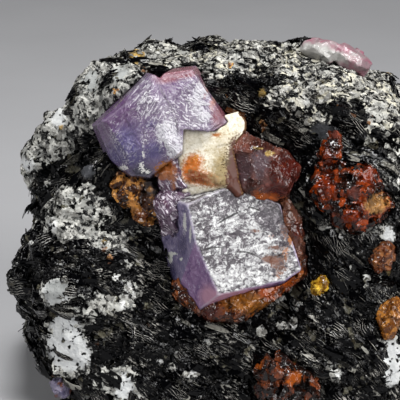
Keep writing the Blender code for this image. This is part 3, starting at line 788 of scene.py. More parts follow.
def ribbons(name, place, along, lift, length, width, thick, bend, taper):
    """Closed ribbons. At part s, the strip's middle is place + along * length * (s - 1/2) + lift *
    bend * (1 - (2s - 1)^2), and its half width is width / 2 * (1 - taper * |2s - 1|^3)."""
    across = np.cross(along, lift)
    part = np.linspace(0.0, 1.0, STATIONS)
    turn = 2.0 * part - 1.0
    middle = place[:, None] + along[:, None] * (length[:, None] * (part - 0.5))[..., None]
    middle += lift[:, None] * (bend[:, None] * (1.0 - turn**2))[..., None]
    half = 0.5 * width[:, None] * (1.0 - taper[:, None] * np.abs(turn) ** 3)
    half = half * (0.85 + 0.3 * rng.random(half.shape))
    corners = []
    for side, level in ((1, 1), (-1, 1), (-1, -1), (1, -1)):
        edge = across[:, None] * (side * half)[..., None]
        corners.append(middle + edge + lift[:, None] * (0.5 * level * thick)[:, None, None])
    points = np.stack(corners, axis=2)
    first = 4 * np.arange(STATIONS - 1)[:, None] + np.arange(4)
    second = 4 * np.arange(STATIONS - 1)[:, None] + (np.arange(4) + 1) % 4
    walls = np.stack([first, second, second + 4, first + 4], axis=2).reshape(-1, 4)
    ends = np.array([[3, 2, 1, 0], 4 * (STATIONS - 1) + np.arange(4)])
    one = np.concatenate([walls, ends])
    faces = (one[None] + 4 * STATIONS * np.arange(len(place))[:, None, None]).reshape(-1, 4)
    piece = piece_of_quads(name, points.reshape(-1, 3), faces)
    set_field(piece, "across", np.tile((1.0, -1.0, -1.0, 1.0), STATIONS * len(place)))
    return piece


# %% [markdown]
# Flakes belong to stacks. A place on the rock is drawn at random, more often where the weight is
# large, and its stack takes the direction of the flow there, tipped a little. Then each flake of
# the stack takes its own small turn, length, bend and depth. Most of a flake is sunk in the rock.

# %% Lay flakes in stacks
def turned(vectors, axes, angles):
    """Vectors turned about axes at right angles to them: v cos(a) + (axis x v) sin(a)."""
    return vectors * np.cos(angles)[:, None] + np.cross(axes, vectors) * np.sin(angles)[:, None]


STACK_SWING, STACK_TIP = 0.20, 0.36  # radians: how far stacks turn on the rock and out of it
FLAKE_SWING, FLAKE_TIP = 0.10, 0.18  # the same for the flakes of a stack
SPREAD, SLIP = 0.55, 0.5  # mm: how far a stack's flakes lie apart, across and along
DEEPEST, HIGHEST = -0.42, 0.06  # mm: where a flake's middle lies against the rock's skin


def lay_flakes(name, weight, stacks, each, longest, slender, pale):
    """Picks places on the rock by weight and lays a stack of ribbons on each."""
    chosen = rng.choice(len(rock_shape), stacks, p=weight / weight.sum())
    along = flow(rock_points[chosen], rock_normals[chosen])
    along = turned(along, rock_normals[chosen], rng.normal(0.0, STACK_SWING, stacks))
    lift = turned(rock_normals[chosen], along, rng.normal(0.0, STACK_TIP, stacks))
    owner = np.repeat(np.arange(stacks), each)
    count = len(owner)
    across = np.cross(along, lift)[owner]
    way = unit(along[owner] + FLAKE_SWING * rng.normal(size=(count, 3)))
    up = laid_on(unit(lift[owner] + FLAKE_TIP * rng.normal(size=(count, 3))), way)
    length = longest * (0.45 + 0.55 * rng.random(count)) * (0.55 + 0.45 * shown[chosen][owner])
    width = length * slender * (0.7 + 0.6 * rng.random(count))
    place = rock_shape[chosen][owner] + across * rng.normal(0.0, SPREAD, count)[:, None]
    place += way * rng.normal(0.0, SLIP, count)[:, None]
    place += rock_normals[chosen][owner] * rng.uniform(DEEPEST, HIGHEST, count)[:, None]
    bend = length * (rng.normal(0.0, 0.09, stacks)[owner] + rng.normal(0.0, 0.03, count))
    thick = 0.05 + 0.08 * rng.random(count)
    taper = 0.3 + 0.6 * rng.random(count)
    flakes = ribbons(name, place, way, up, length, width, thick, bend, taper)
    tone = np.clip(rng.random(count) + pale, 0.0, 1.05)
    set_field(flakes, "tone", np.repeat(tone, 4 * STATIONS))
    set_field(flakes, "stain", np.repeat(stained[chosen][owner], 4 * STATIONS))
    return flakes


# %% [markdown]
# Flakes go where mica lies open: not in feldspar, beside a crystal or at the base, nor so near
# the sides of the solids' box that they would reach out of it. On the front they are shorter
# where the rock turns away, because long ones would stand out from its outline like lashes.

# %% Where flakes and grains may lie
margin = np.minimum(rock_shape - BOX_LOW, BOX_HIGH - rock_shape).min(axis=1)
open_rock = (rock_gap > 0.45) * (margin > 0.5) * smooth_step(rock_points[:, 2], 0.5, 2.0)
mica = (1.0 - is_white) * open_rock * (1.0 - smooth_part)
shown = smooth_step(rock_normals @ OUT, -0.1, 0.4)
print(f"mica lies open on {mica.mean():.0%} of the rock's points")

# %% [markdown]
# A flake is black like the rock's mica, and across its width the sine of the place draws the
# edges of its pages as painted highlights, pale lines where they would catch the light. Only one
# flake in twenty is pale, a painted glint over the whole flake, and rust and murk reach over
# flake and rock alike, so that a flake looks like a part of the rock and not like something laid
# on it.

# %% The flakes' material
flake_look = Look("mica flakes")
tone = flake_look.field("tone")
fine = flake_look.noise(0.4, detail=4.0)
clump = flake_look.noise(4.2, detail=4.0)
turn = 8.0 * flake_look.field("across") + 9.0 * flake_look.noise(1.4) + 40.0 * tone
page_edge_glint = (turn.sine() + 0.5 * (fine - 0.5)).between(0.86, 1.0) * clump.between(0.52, 0.60)
# Painted glints: a few flakes grey or pale all over, and their pale page edges.
colour = flake_look.mix(tone.between(0.93, 0.98), (2, 2, 3), (56, 54, 50))
colour = flake_look.mix(page_edge_glint, colour, (176, 173, 166))
colour = flake_look.mix((tone + 0.1 * fine).between(1.02, 1.05), colour, (140, 138, 130))
rusted = (flake_look.field("stain") * 0.6 + 0.5 * tone).between(0.65, 0.8)
colour = flake_look.mix(rusted, colour, (96, 56, 24))
murk = flake_look.noise(3.4, detail=5.0).between(0.62, 0.65)
colour = flake_look.mix(0.6 * murk, colour, flake_look.mix(fine, (44, 38, 28), (104, 102, 90)))
flake_look.finish(
    Base_Color=colour,
    Roughness=0.09,
    Specular_IOR_Level=0.16,
    Normal=flake_look.relief(1.2, 0.24),
)

# %% Three layers of flakes
clumps = smooth_step(soft_noise(rock_points, 4.0, 91, 2), 0.0, 0.35)
FLAKES = (
    # its name, weight, stacks, flakes in each, longest in mm, width over length, how much paler
    ("mica_flakes_front", mica * shown + 0.05 * open_rock * shown, 560, 7, 5.0, 0.26, 0.0),
    ("mica_edges_front", mica * shown * clumps, 150, 9, 3.4, 0.03, 0.06),
    ("mica_flakes_around", mica * (1.0 - shown), 620, 7, 4.8, 0.26, 0.0),
)
for layer in FLAKES:
    finish_piece(lay_flakes(*layer), flake_look)

# %% [markdown]
# ## Feldspar grains
# Where feldspar broke, loose-looking angular grains stand on the white patches. Each is a cube
# with its corners pushed about, turned at random, and sunk to about half its depth. A dozen
# triangles each are enough, because most are less than a millimetre across.

# %% One angular grain, many times
CUBE = np.array([(x, y, z) for z in (-1, 1) for y in (-1, 1) for x in (-1, 1)], float)
CUBE_FACES = np.array(
    [(0, 2, 3, 1), (4, 5, 7, 6), (0, 1, 5, 4), (2, 6, 7, 3), (0, 4, 6, 2), (1, 3, 7, 5)]
)


def random_turns(count):
    """Turns spread evenly over all directions, from four normal numbers made a unit quaternion."""
    w, x, y, z = unit(rng.normal(size=(count, 4))).T
    rows = (
        (1 - 2 * (y * y + z * z), 2 * (x * y - w * z), 2 * (x * z + w * y)),
        (2 * (x * y + w * z), 1 - 2 * (x * x + z * z), 2 * (y * z - w * x)),
        (2 * (x * z - w * y), 2 * (y * z + w * x), 1 - 2 * (x * x + y * y)),
    )
    return np.moveaxis(np.array(rows), 2, 0)


def angular_grains(name, place, normals, size, flatness):
    """Closed grains: the cube's corners times size, each moved by up to a third, turned, and
    pressed flat along the rock's normal."""
    count = len(place)
    corners = CUBE * (1.0 + 0.66 * (rng.random((count, 8, 3)) - 0.5))
    corners *= 0.5 * size[:, None, None] * rng.uniform(0.6, 1.1, (count, 1, 3))
    offset = np.einsum("nij,nkj->nki", random_turns(count), corners)
    level = np.einsum("nki,ni->nk", offset, normals)
    offset -= flatness * level[..., None] * normals[:, None]
    points = place[:, None] + offset
    faces = (CUBE_FACES[None] + 8 * np.arange(count)[:, None, None]).reshape(-1, 4)
    return piece_of_quads(name, points.reshape(-1, 3), faces)


def strew(name, weight, count, smallest, largest, look, flatness=0.6):
    """Picks places on the rock by weight and sets a grain on each."""
    chosen = rng.choice(len(rock_shape), count, p=weight / weight.sum())
    size = smallest + (largest - smallest) * rng.random(count) ** 2
    sunk = (0.10 - 0.25 * rng.random(count)) * size
    normals = rock_normals[chosen]
    place = rock_shape[chosen] + normals * sunk[:, None]
    piece = angular_grains(name, place, normals, size, flatness)
    set_field(piece, "tone", np.repeat(rng.random(count), 8))
    set_field(piece, "stain", np.repeat(stained[chosen], 8))
    finish_piece(piece, look)


# %% The feldspar grains
grain_look = Look("feldspar grains")
tone = grain_look.field("tone")
fine = grain_look.noise(0.35, detail=4.0)
colour = grain_look.mix(tone.between(0.1, 0.8), (100, 99, 96), (196, 195, 188))
colour = grain_look.mix(fine.between(0.40, 0.65), colour, (108, 106, 100))
speck = grain_look.noise(1.2, detail=6.0, roughness=0.72)
colour = grain_look.mix(speck.between(0.51, 0.53), colour, (8, 8, 8))
rusted = (grain_look.field("stain") + 0.5 * tone).between(0.95, 1.15)
grain_look.finish(
    Base_Color=grain_look.mix(rusted, colour, (186, 138, 66)),
    Roughness=0.28 + 0.3 * fine,
    Specular_IOR_Level=0.3,
    Normal=grain_look.relief(0.5, 0.1),
)
speckled = is_white * open_rock * (1.0 - 0.97 * smooth_part)
strew("feldspar_grains_front", speckled * shown, 3000, 0.3, 1.2, grain_look, 0.75)
strew("feldspar_grains_around", speckled * (1.0 - shown), 6500, 0.5, 1.8, grain_look)

# %% [markdown]
# Where rust has eaten into the rock it leaves crumbs of iron oxide. They are the same angular
# grains, smaller, in browns, and lie where the stain is strongest.

# %% The rusty grains
rust_look = Look("rusty grains")
fine = rust_look.noise(0.4)
colour = rust_look.mix(rust_look.field("tone"), (84, 40, 14), (166, 122, 68))
rust_look.finish(
    Base_Color=rust_look.mix(fine.between(0.4, 0.6), colour, (70, 36, 16)),
    Roughness=0.3 + 0.3 * fine,
    Normal=rust_look.relief(0.4, 0.1),
)
rust_weight = smooth_step(stained, 0.45, 1.0) * open_rock
strew("rusty_grains", rust_weight, 1500, 0.2, 0.6, rust_look)


# %% [markdown]
# ## The sapphires
# Sapphire is violet corundum, milky here from cracks and tiny inclusions. Its broken faces carry
# fine parallel ridges and steps. A bump could shade them, but wouldn't turn the outline or catch
# the light as an edge, so they are drawn on a fine skin as ridges across a direction, and cleavage
# faces are planes that the skin is pressed back onto.

# %% Ridges and cleavage
def ridges(seen, angle, spacing, seed, wander=0.8, long=0.16):
    """Ridges along an angle: 1 - 2 |noise| of the place pressed together along that angle."""
    angle = math.radians(angle)
    along = seen @ (math.cos(angle), math.sin(angle))
    across = seen @ (-math.sin(angle), math.cos(angle))
    flat = np.stack([along * long, across, np.full(len(seen), 3.3 * seed)], axis=1)
    flat[:, 1] += wander * soft_noise(flat * 0.6, spacing * 2.0, seed + 3, 2)
    return 1.0 - np.abs(soft_noise(flat, spacing, seed, 2)) * 2.0


def press_back(points, planes):
    """Cleavage: points beyond a plane (right, up, out on it, then its direction) move onto it."""
    for right, up, out, d_right, d_up, d_out in planes:
        pole = d_right * RIGHT + d_up * UP + d_out * OUT
        pole = pole / np.linalg.norm(pole)
        through = CENTRE + right * RIGHT + up * UP + out * OUT
        beyond = np.maximum((points - through) @ pole, 0.0)
        points = points - beyond[:, None] * pole
    return points


# %% [markdown]
# Edges are paler than faces, because light leaks through the thin glassy stone there. An edge is
# found where a point stands out of the places that its neighbours would smooth it to.

# %% Start a crystal
def smoothed(piece, points, passes):
    """Every point moved to the average of its neighbours, as many times over as passes."""
    pairs = np.empty(len(piece.data.edges) * 2, np.int32)
    piece.data.edges.foreach_get("vertices", pairs)
    first, second = pairs.reshape(-1, 2).T
    count = np.bincount(pairs, minlength=len(points))[:, None]
    smooth = points.copy()
    for _ in range(passes):
        total = np.zeros_like(smooth)
        np.add.at(total, first, smooth[second])
        np.add.at(total, second, smooth[first])
        smooth = total / count
    return smooth


def start_crystal(solid, size):
    """A crystal's skin, its points and normals, and their places as seen. Each point carries how
    far it stands out of its smoothed place along its normal, in mm, which is most at edges."""
    piece = skin(solid + "_crystal", solid, size)
    points, normals = read_points(piece)
    set_field(piece, "edge", dots(points - smoothed(piece, points, passes=6), normals))
    return piece, points, normals, as_seen(points)


# %% [markdown]
# A crystal's tints are soft patches, as seen from the front, carried by the points, and each tint
# is mixed in the material with a rough border. Cracks are thin lines of the same kind. Healed
# cracks inside the stone are too many to place, so they are noise drawn out along one direction.

# %% Tints, cracks and feathers
def add_tints(piece, look, seen, colour, rough, tints):
    """Each tint is mixed in where its soft patches plus a rough noise pass a half."""
    for name, tint, soft, table in tints:
        set_field(piece, name, patches(seen, table))
        mask = (look.field(name) + rough).between(0.5 - soft, 0.5 + soft)
        colour = look.mix(mask, colour, tint)
    return colour


def crack_line(seen, start, end, sag, wide):
    """A crack from one place to another: exp(-(gap / wide)^2) of the gap to a parabola, fading
    out at both ends."""
    start, end = np.array(start), np.array(end)
    along = (end - start) / np.linalg.norm(end - start)
    part = (seen - start) @ along / np.linalg.norm(end - start)
    across = (seen - start) @ (-along[1], along[0]) - 4.0 * sag * part * (1.0 - part)
    return np.exp(-((across / wide) ** 2)) * np.sqrt(np.clip(4.0 * part * (1.0 - part), 0.0, 1.0))


def cracks(seen, table):
    """The sum of the cracks of a table."""
    return sum(crack_line(seen, *row) for row in table)


def feathers(look, angle, wide, factor, warp, detail=5.0):
    """Curved healed cracks inside the stone: fine noise drawn out along an angle, as seen."""
    return look.noise(wide, detail, 0.6, warp, look.stretched(heading(angle), factor))


# %% [markdown]
# ## The upper sapphire
# The largest crystal is a blunt violet block. Six cleavage faces cut it, and two sets of ridges
# cross its front: one on the left, one on the right, with a soft step between them.

# %% The upper sapphire's skin
REACH = 0.13  # mm: skins reach out this far, so that crystals which grew together touch
CRYSTAL_QUAD = 0.24  # mm: fine enough for a ridge every 1.4 mm
upper, points, normals, seen = start_crystal("upper_sapphire", CRYSTAL_QUAD)
CLEAVED = (
    (-5.4, 11.6, 3.9, 0.40, 0.06, 0.91),
    (-9.0, 8.0, 2.9, -0.10, -0.62, 0.78),
    (-14.0, 9.0, 1.0, -0.70, -0.42, 0.58),
    (-1.2, 20.0, 2.2, 0.10, 0.52, 0.85),
    (2.2, 17.0, 1.6, 0.66, 0.16, 0.73),
    (-13.0, 17.2, 1.8, -0.52, 0.48, 0.70),
)
outward = smooth_step(normals @ OUT, 0.1, 0.6)
shape = press_back(points, CLEAVED)
left = smooth_step(-seen[:, 0], 5.0, 8.0)
height = 0.16 * ridges(seen, 56.0, 1.5, 101) * left
height += 0.20 * ridges(seen, -52.0, 1.4, 103, 2.4, 0.3) * (1.0 - left)
height += 0.30 * soft_noise(points, 5.0, 105, 2) + 0.08 * soft_noise(points, 0.9, 109)
write_points(upper, shape + normals * (height * outward + REACH)[:, None])
set_field(upper, "left", left)

# %% [markdown]
# Violet sapphire grows in zones, blue at one corner and rose at another, and each zone is a tint.
# The darkest, low on the left, is partly a deep blue zone and partly painted shade. The silky parts
# are where healed cracks crowd together. A pale selvage of rock clings to the left shoulder, and
# three open cracks are dark.

# %% The upper sapphire's zones
UPPER_TINTS = (
    # name, colour, softness, then patches
    ("violet", (88, 58, 98), 0.40, (
        (-14.0, 16.0, 3.6, 3.2, 0.9), (-16.6, 13.0, 2.4, 2.4, 0.9), (-5.4, 20.4, 3.4, 2.0, 0.7),
        (-2.6, 15.6, 1.6, 2.6, 0.5),
    )),
    ("blue", (76, 66, 114), 0.40, (
        (-13.0, 11.4, 2.6, 2.6, 0.8), (-12.4, 7.6, 3.2, 2.2, 1.0), (-8.0, 9.0, 2.0, 1.6, 0.9),
        (-8.6, 13.6, 1.6, 1.0, 0.6), (-15.6, 8.4, 1.4, 2.4, 0.6),
    )),
    # The darkest zone: partly deep blue, partly painted shade along the underside.
    ("deep_blue_and_shade", (38, 34, 58), 0.35, ((-10.6, 4.8, 2.6, 2.0, 1.0), (-9.0, 3.0, 1.6, 1.6, 1.2))),
    ("rose", (126, 72, 84), 0.35, (
        (-3.4, 23.2, 4.6, 1.0, 1.3), (0.8, 21.4, 1.1, 2.6, 0.9), (3.6, 15.4, 1.3, 2.6, 1.0),
        (-6.2, 22.0, 2.2, 0.8, 0.7),
    )),
    ("blush", (182, 128, 116), 0.30, ((1.0, 20.6, 0.6, 2.6, 0.9), (2.4, 18.0, 0.5, 2.0, 0.8))),
)
FEATHERED = (
    (-10.0, 17.4, 2.4, 3.4, 0.62), (-6.4, 17.0, 3.6, 2.6, 0.50), (-0.6, 17.6, 2.8, 4.2, 1.0),
    (-5.4, 12.2, 2.5, 3.6, 1.10), (-4.2, 9.2, 1.6, 1.8, 1.0), (-15.4, 14.4, 1.8, 1.8, 0.35),
    (-9.6, 21.0, 1.6, 1.4, 0.55), (-3.0, 21.6, 3.0, 1.4, 0.35), (-9.9, 10.4, 0.7, 2.6, 0.70),
    (-13.6, 8.0, 2.8, 2.6, 0.44), (-15.6, 11.4, 1.4, 2.0, 0.5), (0.6, 14.0, 2.4, 1.2, 0.8),
    (-11.0, 19.0, 2.0, 1.6, 0.35),
)
set_field(upper, "feathered", patches(seen, FEATHERED))
selvage = crack_line(seen, (-18.2, 14.4), (-13.4, 18.6), 0.2, 0.45)
deep = points @ OUT
front_edge = deep[selvage > 0.3].max()
set_field(upper, "selvage", selvage * smooth_step(deep, front_edge - 5.0, front_edge - 3.0))
UPPER_CRACKS = (
    # start, end, sag, width
    ((-14.6, 17.4), (-10.6, 21.4), 0.3, 0.16),
    ((-4.4, 15.0), (-3.6, 11.6), 0.2, 0.16),
    ((-7.4, 21.4), (-4.2, 15.6), -0.5, 0.14),
)
set_field(upper, "dark line", np.minimum(cracks(seen, UPPER_CRACKS), 1.0))
print(len(UPPER_TINTS), "zones,", len(FEATHERED), "silky parts and", len(UPPER_CRACKS), "cracks")

# %% [markdown]
# The zones lie deepest, so they are mixed first. Then come the silky glaze, the painted sheen
# where light would glint off healed cracks, their pale strokes, which are partly milky and partly
# painted sheen, painted highlights on the ridges' crests and painted shade in their troughs, and
# last what lies on the surface: the selvage, the open cracks, a painted highlight on the edges,
# milky crumbs and amber stains.

# %% The upper sapphire's base, silk and painted sheen
upper_look = Look("violet sapphire")
wisp = upper_look.noise(1.5, detail=9.0, roughness=0.68, warp=1.2)
cloud = upper_look.noise(2.6, detail=2.0, warp=1.5)
dust = upper_look.noise(0.35, detail=4.0)
on_left = upper_look.field("left")
healed = upper_look.field("feathered")
slanted = upper_look.waves(-0.80 * RIGHT + 0.60 * UP, 0.75, 30.0, 1.8)
chevron = upper_look.waves(0.55 * RIGHT + 0.83 * UP, 0.85, 36.0, 2.2)
ripple = on_left * slanted + (1.0 - on_left) * chevron
colour = upper_look.mix(wisp.between(0.35, 0.65), (92, 72, 102), (122, 104, 134))
colour = add_tints(upper, upper_look, seen, colour, 0.9 * (wisp - 0.5), UPPER_TINTS)
glaze = (healed + 1.5 * (wisp - 0.5) + 0.8 * (cloud - 0.5)).between(0.45, 1.1)
colour = upper_look.mix(0.7 * glaze, colour, (140, 134, 144))
# Painted sheen: silvery patches where light would glint off healed cracks.
colour = add_tints(upper, upper_look, seen, colour, 1.6 * (wisp - 0.5) + 0.8 * (cloud - 0.5), (
    ("painted_sheen", (192, 190, 196), 0.12, (
        (-5.6, 12.2, 2.2, 2.6, 1.0), (-4.4, 9.2, 1.6, 1.9, 1.0), (-0.2, 18.2, 2.0, 3.4, 0.72),
        (1.4, 15.0, 1.6, 1.6, 0.6), (-10.0, 18.6, 1.2, 1.6, 0.55), (-9.4, 21.4, 1.4, 0.8, 0.5),
    )),
))

# %% The upper sapphire's ridges, painted highlight and shade, cracks and crumbs
streak = feathers(upper_look, 52.0, 0.55, 4.0, 1.0)
across = feathers(upper_look, -22.0, 0.55, 3.5, 1.0)
# Pale strokes of healed cracks: partly milky, partly painted sheen.
stroke = (on_left * streak + (1.0 - on_left) * across).between(0.56, 0.61)
colour = upper_look.mix(0.75 * stroke * healed.between(0.1, 0.5), colour, (196, 190, 202))
# Painted highlights on the ridges' crests and painted shade in their troughs.
crest_highlight = (0.8 * ripple + 2.2 * (wisp - 0.5) + 1.0 * (cloud - 0.5)).between(0.60, 0.78)
colour = upper_look.mix(crest_highlight * (0.06 + 0.9 * healed.between(0.2, 0.9)), colour, (214, 210, 216))
trough_shade = (1.0 - ripple + 1.2 * (wisp - 0.5)).between(0.80, 0.96)
colour = upper_look.mix(0.7 * trough_shade * healed.between(0.3, 0.9), colour, (92, 80, 98))
along_edge = (upper_look.field("selvage") + 1.8 * (wisp - 0.5)).between(0.45, 0.6)
colour = upper_look.mix(along_edge, colour, (190, 184, 160))
colour = upper_look.mix(0.8 * upper_look.field("dark line"), colour, (40, 30, 44))
# Painted highlight: the edges a little paler.
edge = upper_look.field("edge").between(0.02, 0.10)
colour = upper_look.mix(0.16 * edge, colour, (196, 186, 202))
colour = add_tints(upper, upper_look, seen, colour, 1.8 * (dust - 0.5), (
    ("milk", (232, 230, 226), 0.06, (
        (-14.0, 5.8, 1.0, 0.5, 0.75), (-10.5, 6.2, 0.6, 1.0, 0.75), (-9.4, 5.2, 0.9, 0.5, 0.7),
        (-10.2, 8.4, 0.3, 1.0, 0.6),
    )),
    ("amber", (150, 92, 34), 0.12, (
        (-13.2, 2.9, 1.9, 1.5, 1.1), (-6.4, 5.0, 1.8, 1.8, 1.1), (-5.0, 6.4, 1.2, 1.0, 0.8),
    )),
))
upper_look.finish(
    Base_Color=colour,
    Roughness=0.18 + 0.12 * wisp,
    IOR=1.77,
    Specular_IOR_Level=0.35,
    Transmission_Weight=0.2,
    Normal=upper_look.bump(0.10 * ripple * (0.2 + 0.8 * glaze) + cloud + 0.5 * wisp, 0.5),
)
finish_piece(upper, upper_look, "upper_sapphire", smooth=True)

# %% [markdown]
# ## The lower sapphire
# This crystal broke along one flat face, which lies so that it throws the large light back to
# the eye. It is silvery with shallow scales, chipped at its right corner and crossed by five
# cracks. The other faces are smooth violet, so the points carry which face they belong to.

# %% The lower sapphire's skin
lower, points, normals, seen = start_crystal("lower_sapphire", CRYSTAL_QUAD)
TOP = 0.38 * RIGHT + 0.12 * UP + 0.91 * OUT
TOP = TOP / np.linalg.norm(TOP)
is_top = smooth_step(normals @ TOP, 0.86, 0.96)
height = 0.14 * ridges(seen, 14.0, 2.2, 121, 2.4, 0.3) + 0.16 * soft_noise(points, 1.4, 127, 2)
CHIPS = ((13.4, -9.6, 2.4, 1.6, 1.0), (16.0, -10.4, 1.6, 2.4, 1.0), (14.4, -13.4, 1.6, 1.4, 1.0))
chip = np.minimum(patches(seen, CHIPS), 1.0)
height += facets(points, 1.6, 131, 0.30, 0.20) * chip - 0.3 * chip
LOWER_CRACKS = (
    # start, end, sag, width
    ((2.7, -4.6), (8.0, -1.8), 0.2, 0.22), ((8.1, -1.2), (11.2, -2.2), 0.2, 0.20),
    ((0.2, -9.2), (4.4, -8.6), 0.3, 0.18), ((5.4, -9.6), (11.6, -11.2), 0.9, 0.20),
    ((11.6, -11.2), (15.6, -9.0), -0.3, 0.24),
)
crack = cracks(seen, LOWER_CRACKS)
height = height * is_top - 0.12 * crack * is_top
height += (1.0 - is_top) * 0.05 * ridges(seen, -70.0, 1.6, 129)
write_points(lower, points + normals * (height + REACH)[:, None])
upper_edge = smooth_step(normals @ UP, 0.35, 0.6) * smooth_step(normals @ RIGHT, -0.75, -0.6)
set_field(lower, "painted_sheen", np.maximum(is_top, upper_edge))
set_field(lower, "crack", np.minimum(crack, 1.0))
past_edge = (seen - (-0.7, -7.2)) @ (0.945, -0.327)
set_field(lower, "purple", smooth_step(past_edge, -0.12, 0.12) * (1.0 - is_top))
# Patches that make the painted reflection on the flat face brighter, and darker where negative.
PAINTED_REFLECTION_PATCHES = (
    (8.0, -8.0, 6.0, 3.4, 0.14), (8.0, -13.6, 6.0, 2.6, 0.20), (13.0, -7.4, 3.0, 2.4, 0.10),
    (2.6, -8.6, 1.6, 3.0, 0.10), (3.0, -12.6, 2.0, 3.0, 0.10), (9.6, -1.6, 1.6, 1.2, 0.10),
    (5.0, 0.6, 7.0, 2.2, -0.06), (13.4, -2.6, 2.4, 2.2, -0.55), (3.4, -3.4, 3.6, 1.8, 0.06),
    (6.0, -10.4, 3.0, 1.2, -0.25), (7.0, -6.2, 2.4, 0.9, -0.18),
)
set_field(lower, "bright", patches(seen, PAINTED_REFLECTION_PATCHES))
print(f"{is_top.mean():.0%} of the lower sapphire's points lie on its flat face")

# %% [markdown]
# A mirror-like face would show the light as one white patch. The real one is scaly, so its
# reflection is painted into the colour over the face's own grey: parts of it grey, parts white and
# a few parts flashing white. Two noises make that pattern in the colour, and the gloss is kept
# low, because a reflection would wash out the dark cracks.

# %% The silvery face, with its reflection painted in
lower_look = Look("silvery sapphire")
drawn_out = lower_look.stretched(RIGHT * math.cos(0.35) + UP * math.sin(0.35), 1.4)
dust = lower_look.noise(0.30, detail=4.0)
lumps = lower_look.noise(3.0, detail=1.5, warp=0.6)
flecks = lower_look.noise(1.05, 6.0, 0.64, 0.9, drawn_out)
painted_shine = 0.5 * (lumps - 0.5) + 1.0 * (flecks - 0.5) + 0.6 * lower_look.field("bright")
painted_shine = (painted_shine + 0.3 * (dust - 0.5) - 0.03).between(-0.04, 0.05)
chips = lower_look.noise(0.7, 3.0, 0.6, 1.0, drawn_out)
grey = lower_look.mix(chips.between(0.52, 0.60), (62, 56, 62), (122, 116, 121))
white = lower_look.mix(chips.between(0.42, 0.50), (134, 132, 134), (186, 186, 186))
# Painted reflection: a few parts of the face flashing white.
painted_flash = (flecks + 0.5 * (chips - 0.5) + 0.2 * lower_look.field("bright")).between(0.60, 0.63)
white = lower_look.mix(painted_flash, white, (216, 216, 215))
painted_sheen = lower_look.mix(painted_shine, grey, white)
hairline = abs(lower_look.noise(2.6, 4.0, 0.55, 1.2, drawn_out) - 0.5).between(0.004, 0.013)
painted_sheen = lower_look.mix(0.8 * (1.0 - hairline), painted_sheen, (50, 44, 50))
split = (lower_look.field("crack") + 0.8 * (dust - 0.5)).between(0.40, 0.70)
painted_sheen = lower_look.mix(0.9 * split, painted_sheen, (8, 6, 8))

# %% The violet faces, and the whole lower sapphire
cloud = lower_look.noise(2.0, detail=8.0, roughness=0.66, warp=0.8)
violet = lower_look.mix(cloud.between(0.35, 0.65), (84, 78, 112), (142, 132, 160))
purple = lower_look.mix(cloud.between(0.35, 0.65), (96, 68, 112), (156, 126, 164))
violet = lower_look.mix(lower_look.field("purple"), violet, purple)
# Painted glints: pale lavender strokes where the violet faces would catch the light.
gleam = feathers(lower_look, 64.0, 0.5, 4.0, 0.9)
violet = lower_look.mix(0.6 * gleam.between(0.57, 0.62), violet, (182, 172, 194))
colour = add_tints(lower, lower_look, seen, violet, 0.7 * (cloud - 0.5), (
    ("pink", (182, 136, 158), 0.40, (
        (4.4, -17.8, 3.4, 1.4, 1.2), (9.4, -17.0, 4.4, 1.2, 1.3), (1.4, -16.8, 1.2, 1.8, 0.8),
    )),
    # Deep blue-violet on the left: partly the stone's colour, partly painted shade.
    ("left_blue_and_shade", (40, 36, 66), 0.40, ((-5.4, -12.8, 1.6, 2.0, 0.8), (-3.0, -8.0, 1.0, 2.6, 0.6))),
))
colour = lower_look.mix(lower_look.field("painted_sheen"), colour, painted_sheen)
# Painted highlight: the edges paler.
colour = lower_look.mix(lower_look.field("edge").between(0.06, 0.14) * 0.5, colour, (204, 198, 208))
colour = add_tints(lower, lower_look, seen, colour, 1.0 * (dust - 0.5) + 1.4 * (flecks - 0.5), (
    ("milk", (206, 206, 200), 0.10, (
        (-5.2, -10.4, 0.45, 1.1, 1.0), (-4.6, -9.6, 0.9, 0.3, 0.8), (-2.6, -4.2, 0.4, 2.4, 0.8),
        (-3.2, -10.6, 0.4, 0.3, 1.0), (-1.6, -6.0, 0.3, 1.8, 0.7),
    )),
    ("amber", (158, 98, 52), 0.12, (
        (15.4, -9.6, 0.9, 2.6, 0.6), (16.2, -6.8, 0.5, 1.4, 0.7), (13.0, -6.4, 1.0, 0.7, 0.4),
        (13.8, -13.4, 1.6, 1.0, 0.5),
    )),
    ("umber", (104, 72, 60), 0.14, (
        (9.8, -5.6, 1.4, 0.5, 0.7), (12.4, -10.6, 1.8, 0.6, 0.6), (14.2, -11.6, 2.4, 2.4, 0.62),
        (15.2, -5.6, 1.2, 2.4, 0.58), (13.2, -8.6, 2.2, 0.5, 0.5),
    )),
))
lower_look.finish(
    Base_Color=colour,
    Roughness=0.26 - 0.06 * painted_shine,
    IOR=1.77,
    Specular_IOR_Level=0.13,
    Transmission_Weight=0.15,
    Normal=lower_look.bump(0.5 * flecks + 0.7 * lumps + 0.04 * hairline, 0.5),
)
finish_piece(lower, lower_look, "lower_sapphire", smooth=True)

# %% [markdown]
# ## The smaller corundum crystals
# Between the two large sapphires is a bundle of violet fibres, which is a crystal that grew in a
# narrow gap. Its ridges are deep and its pale strokes run along them.

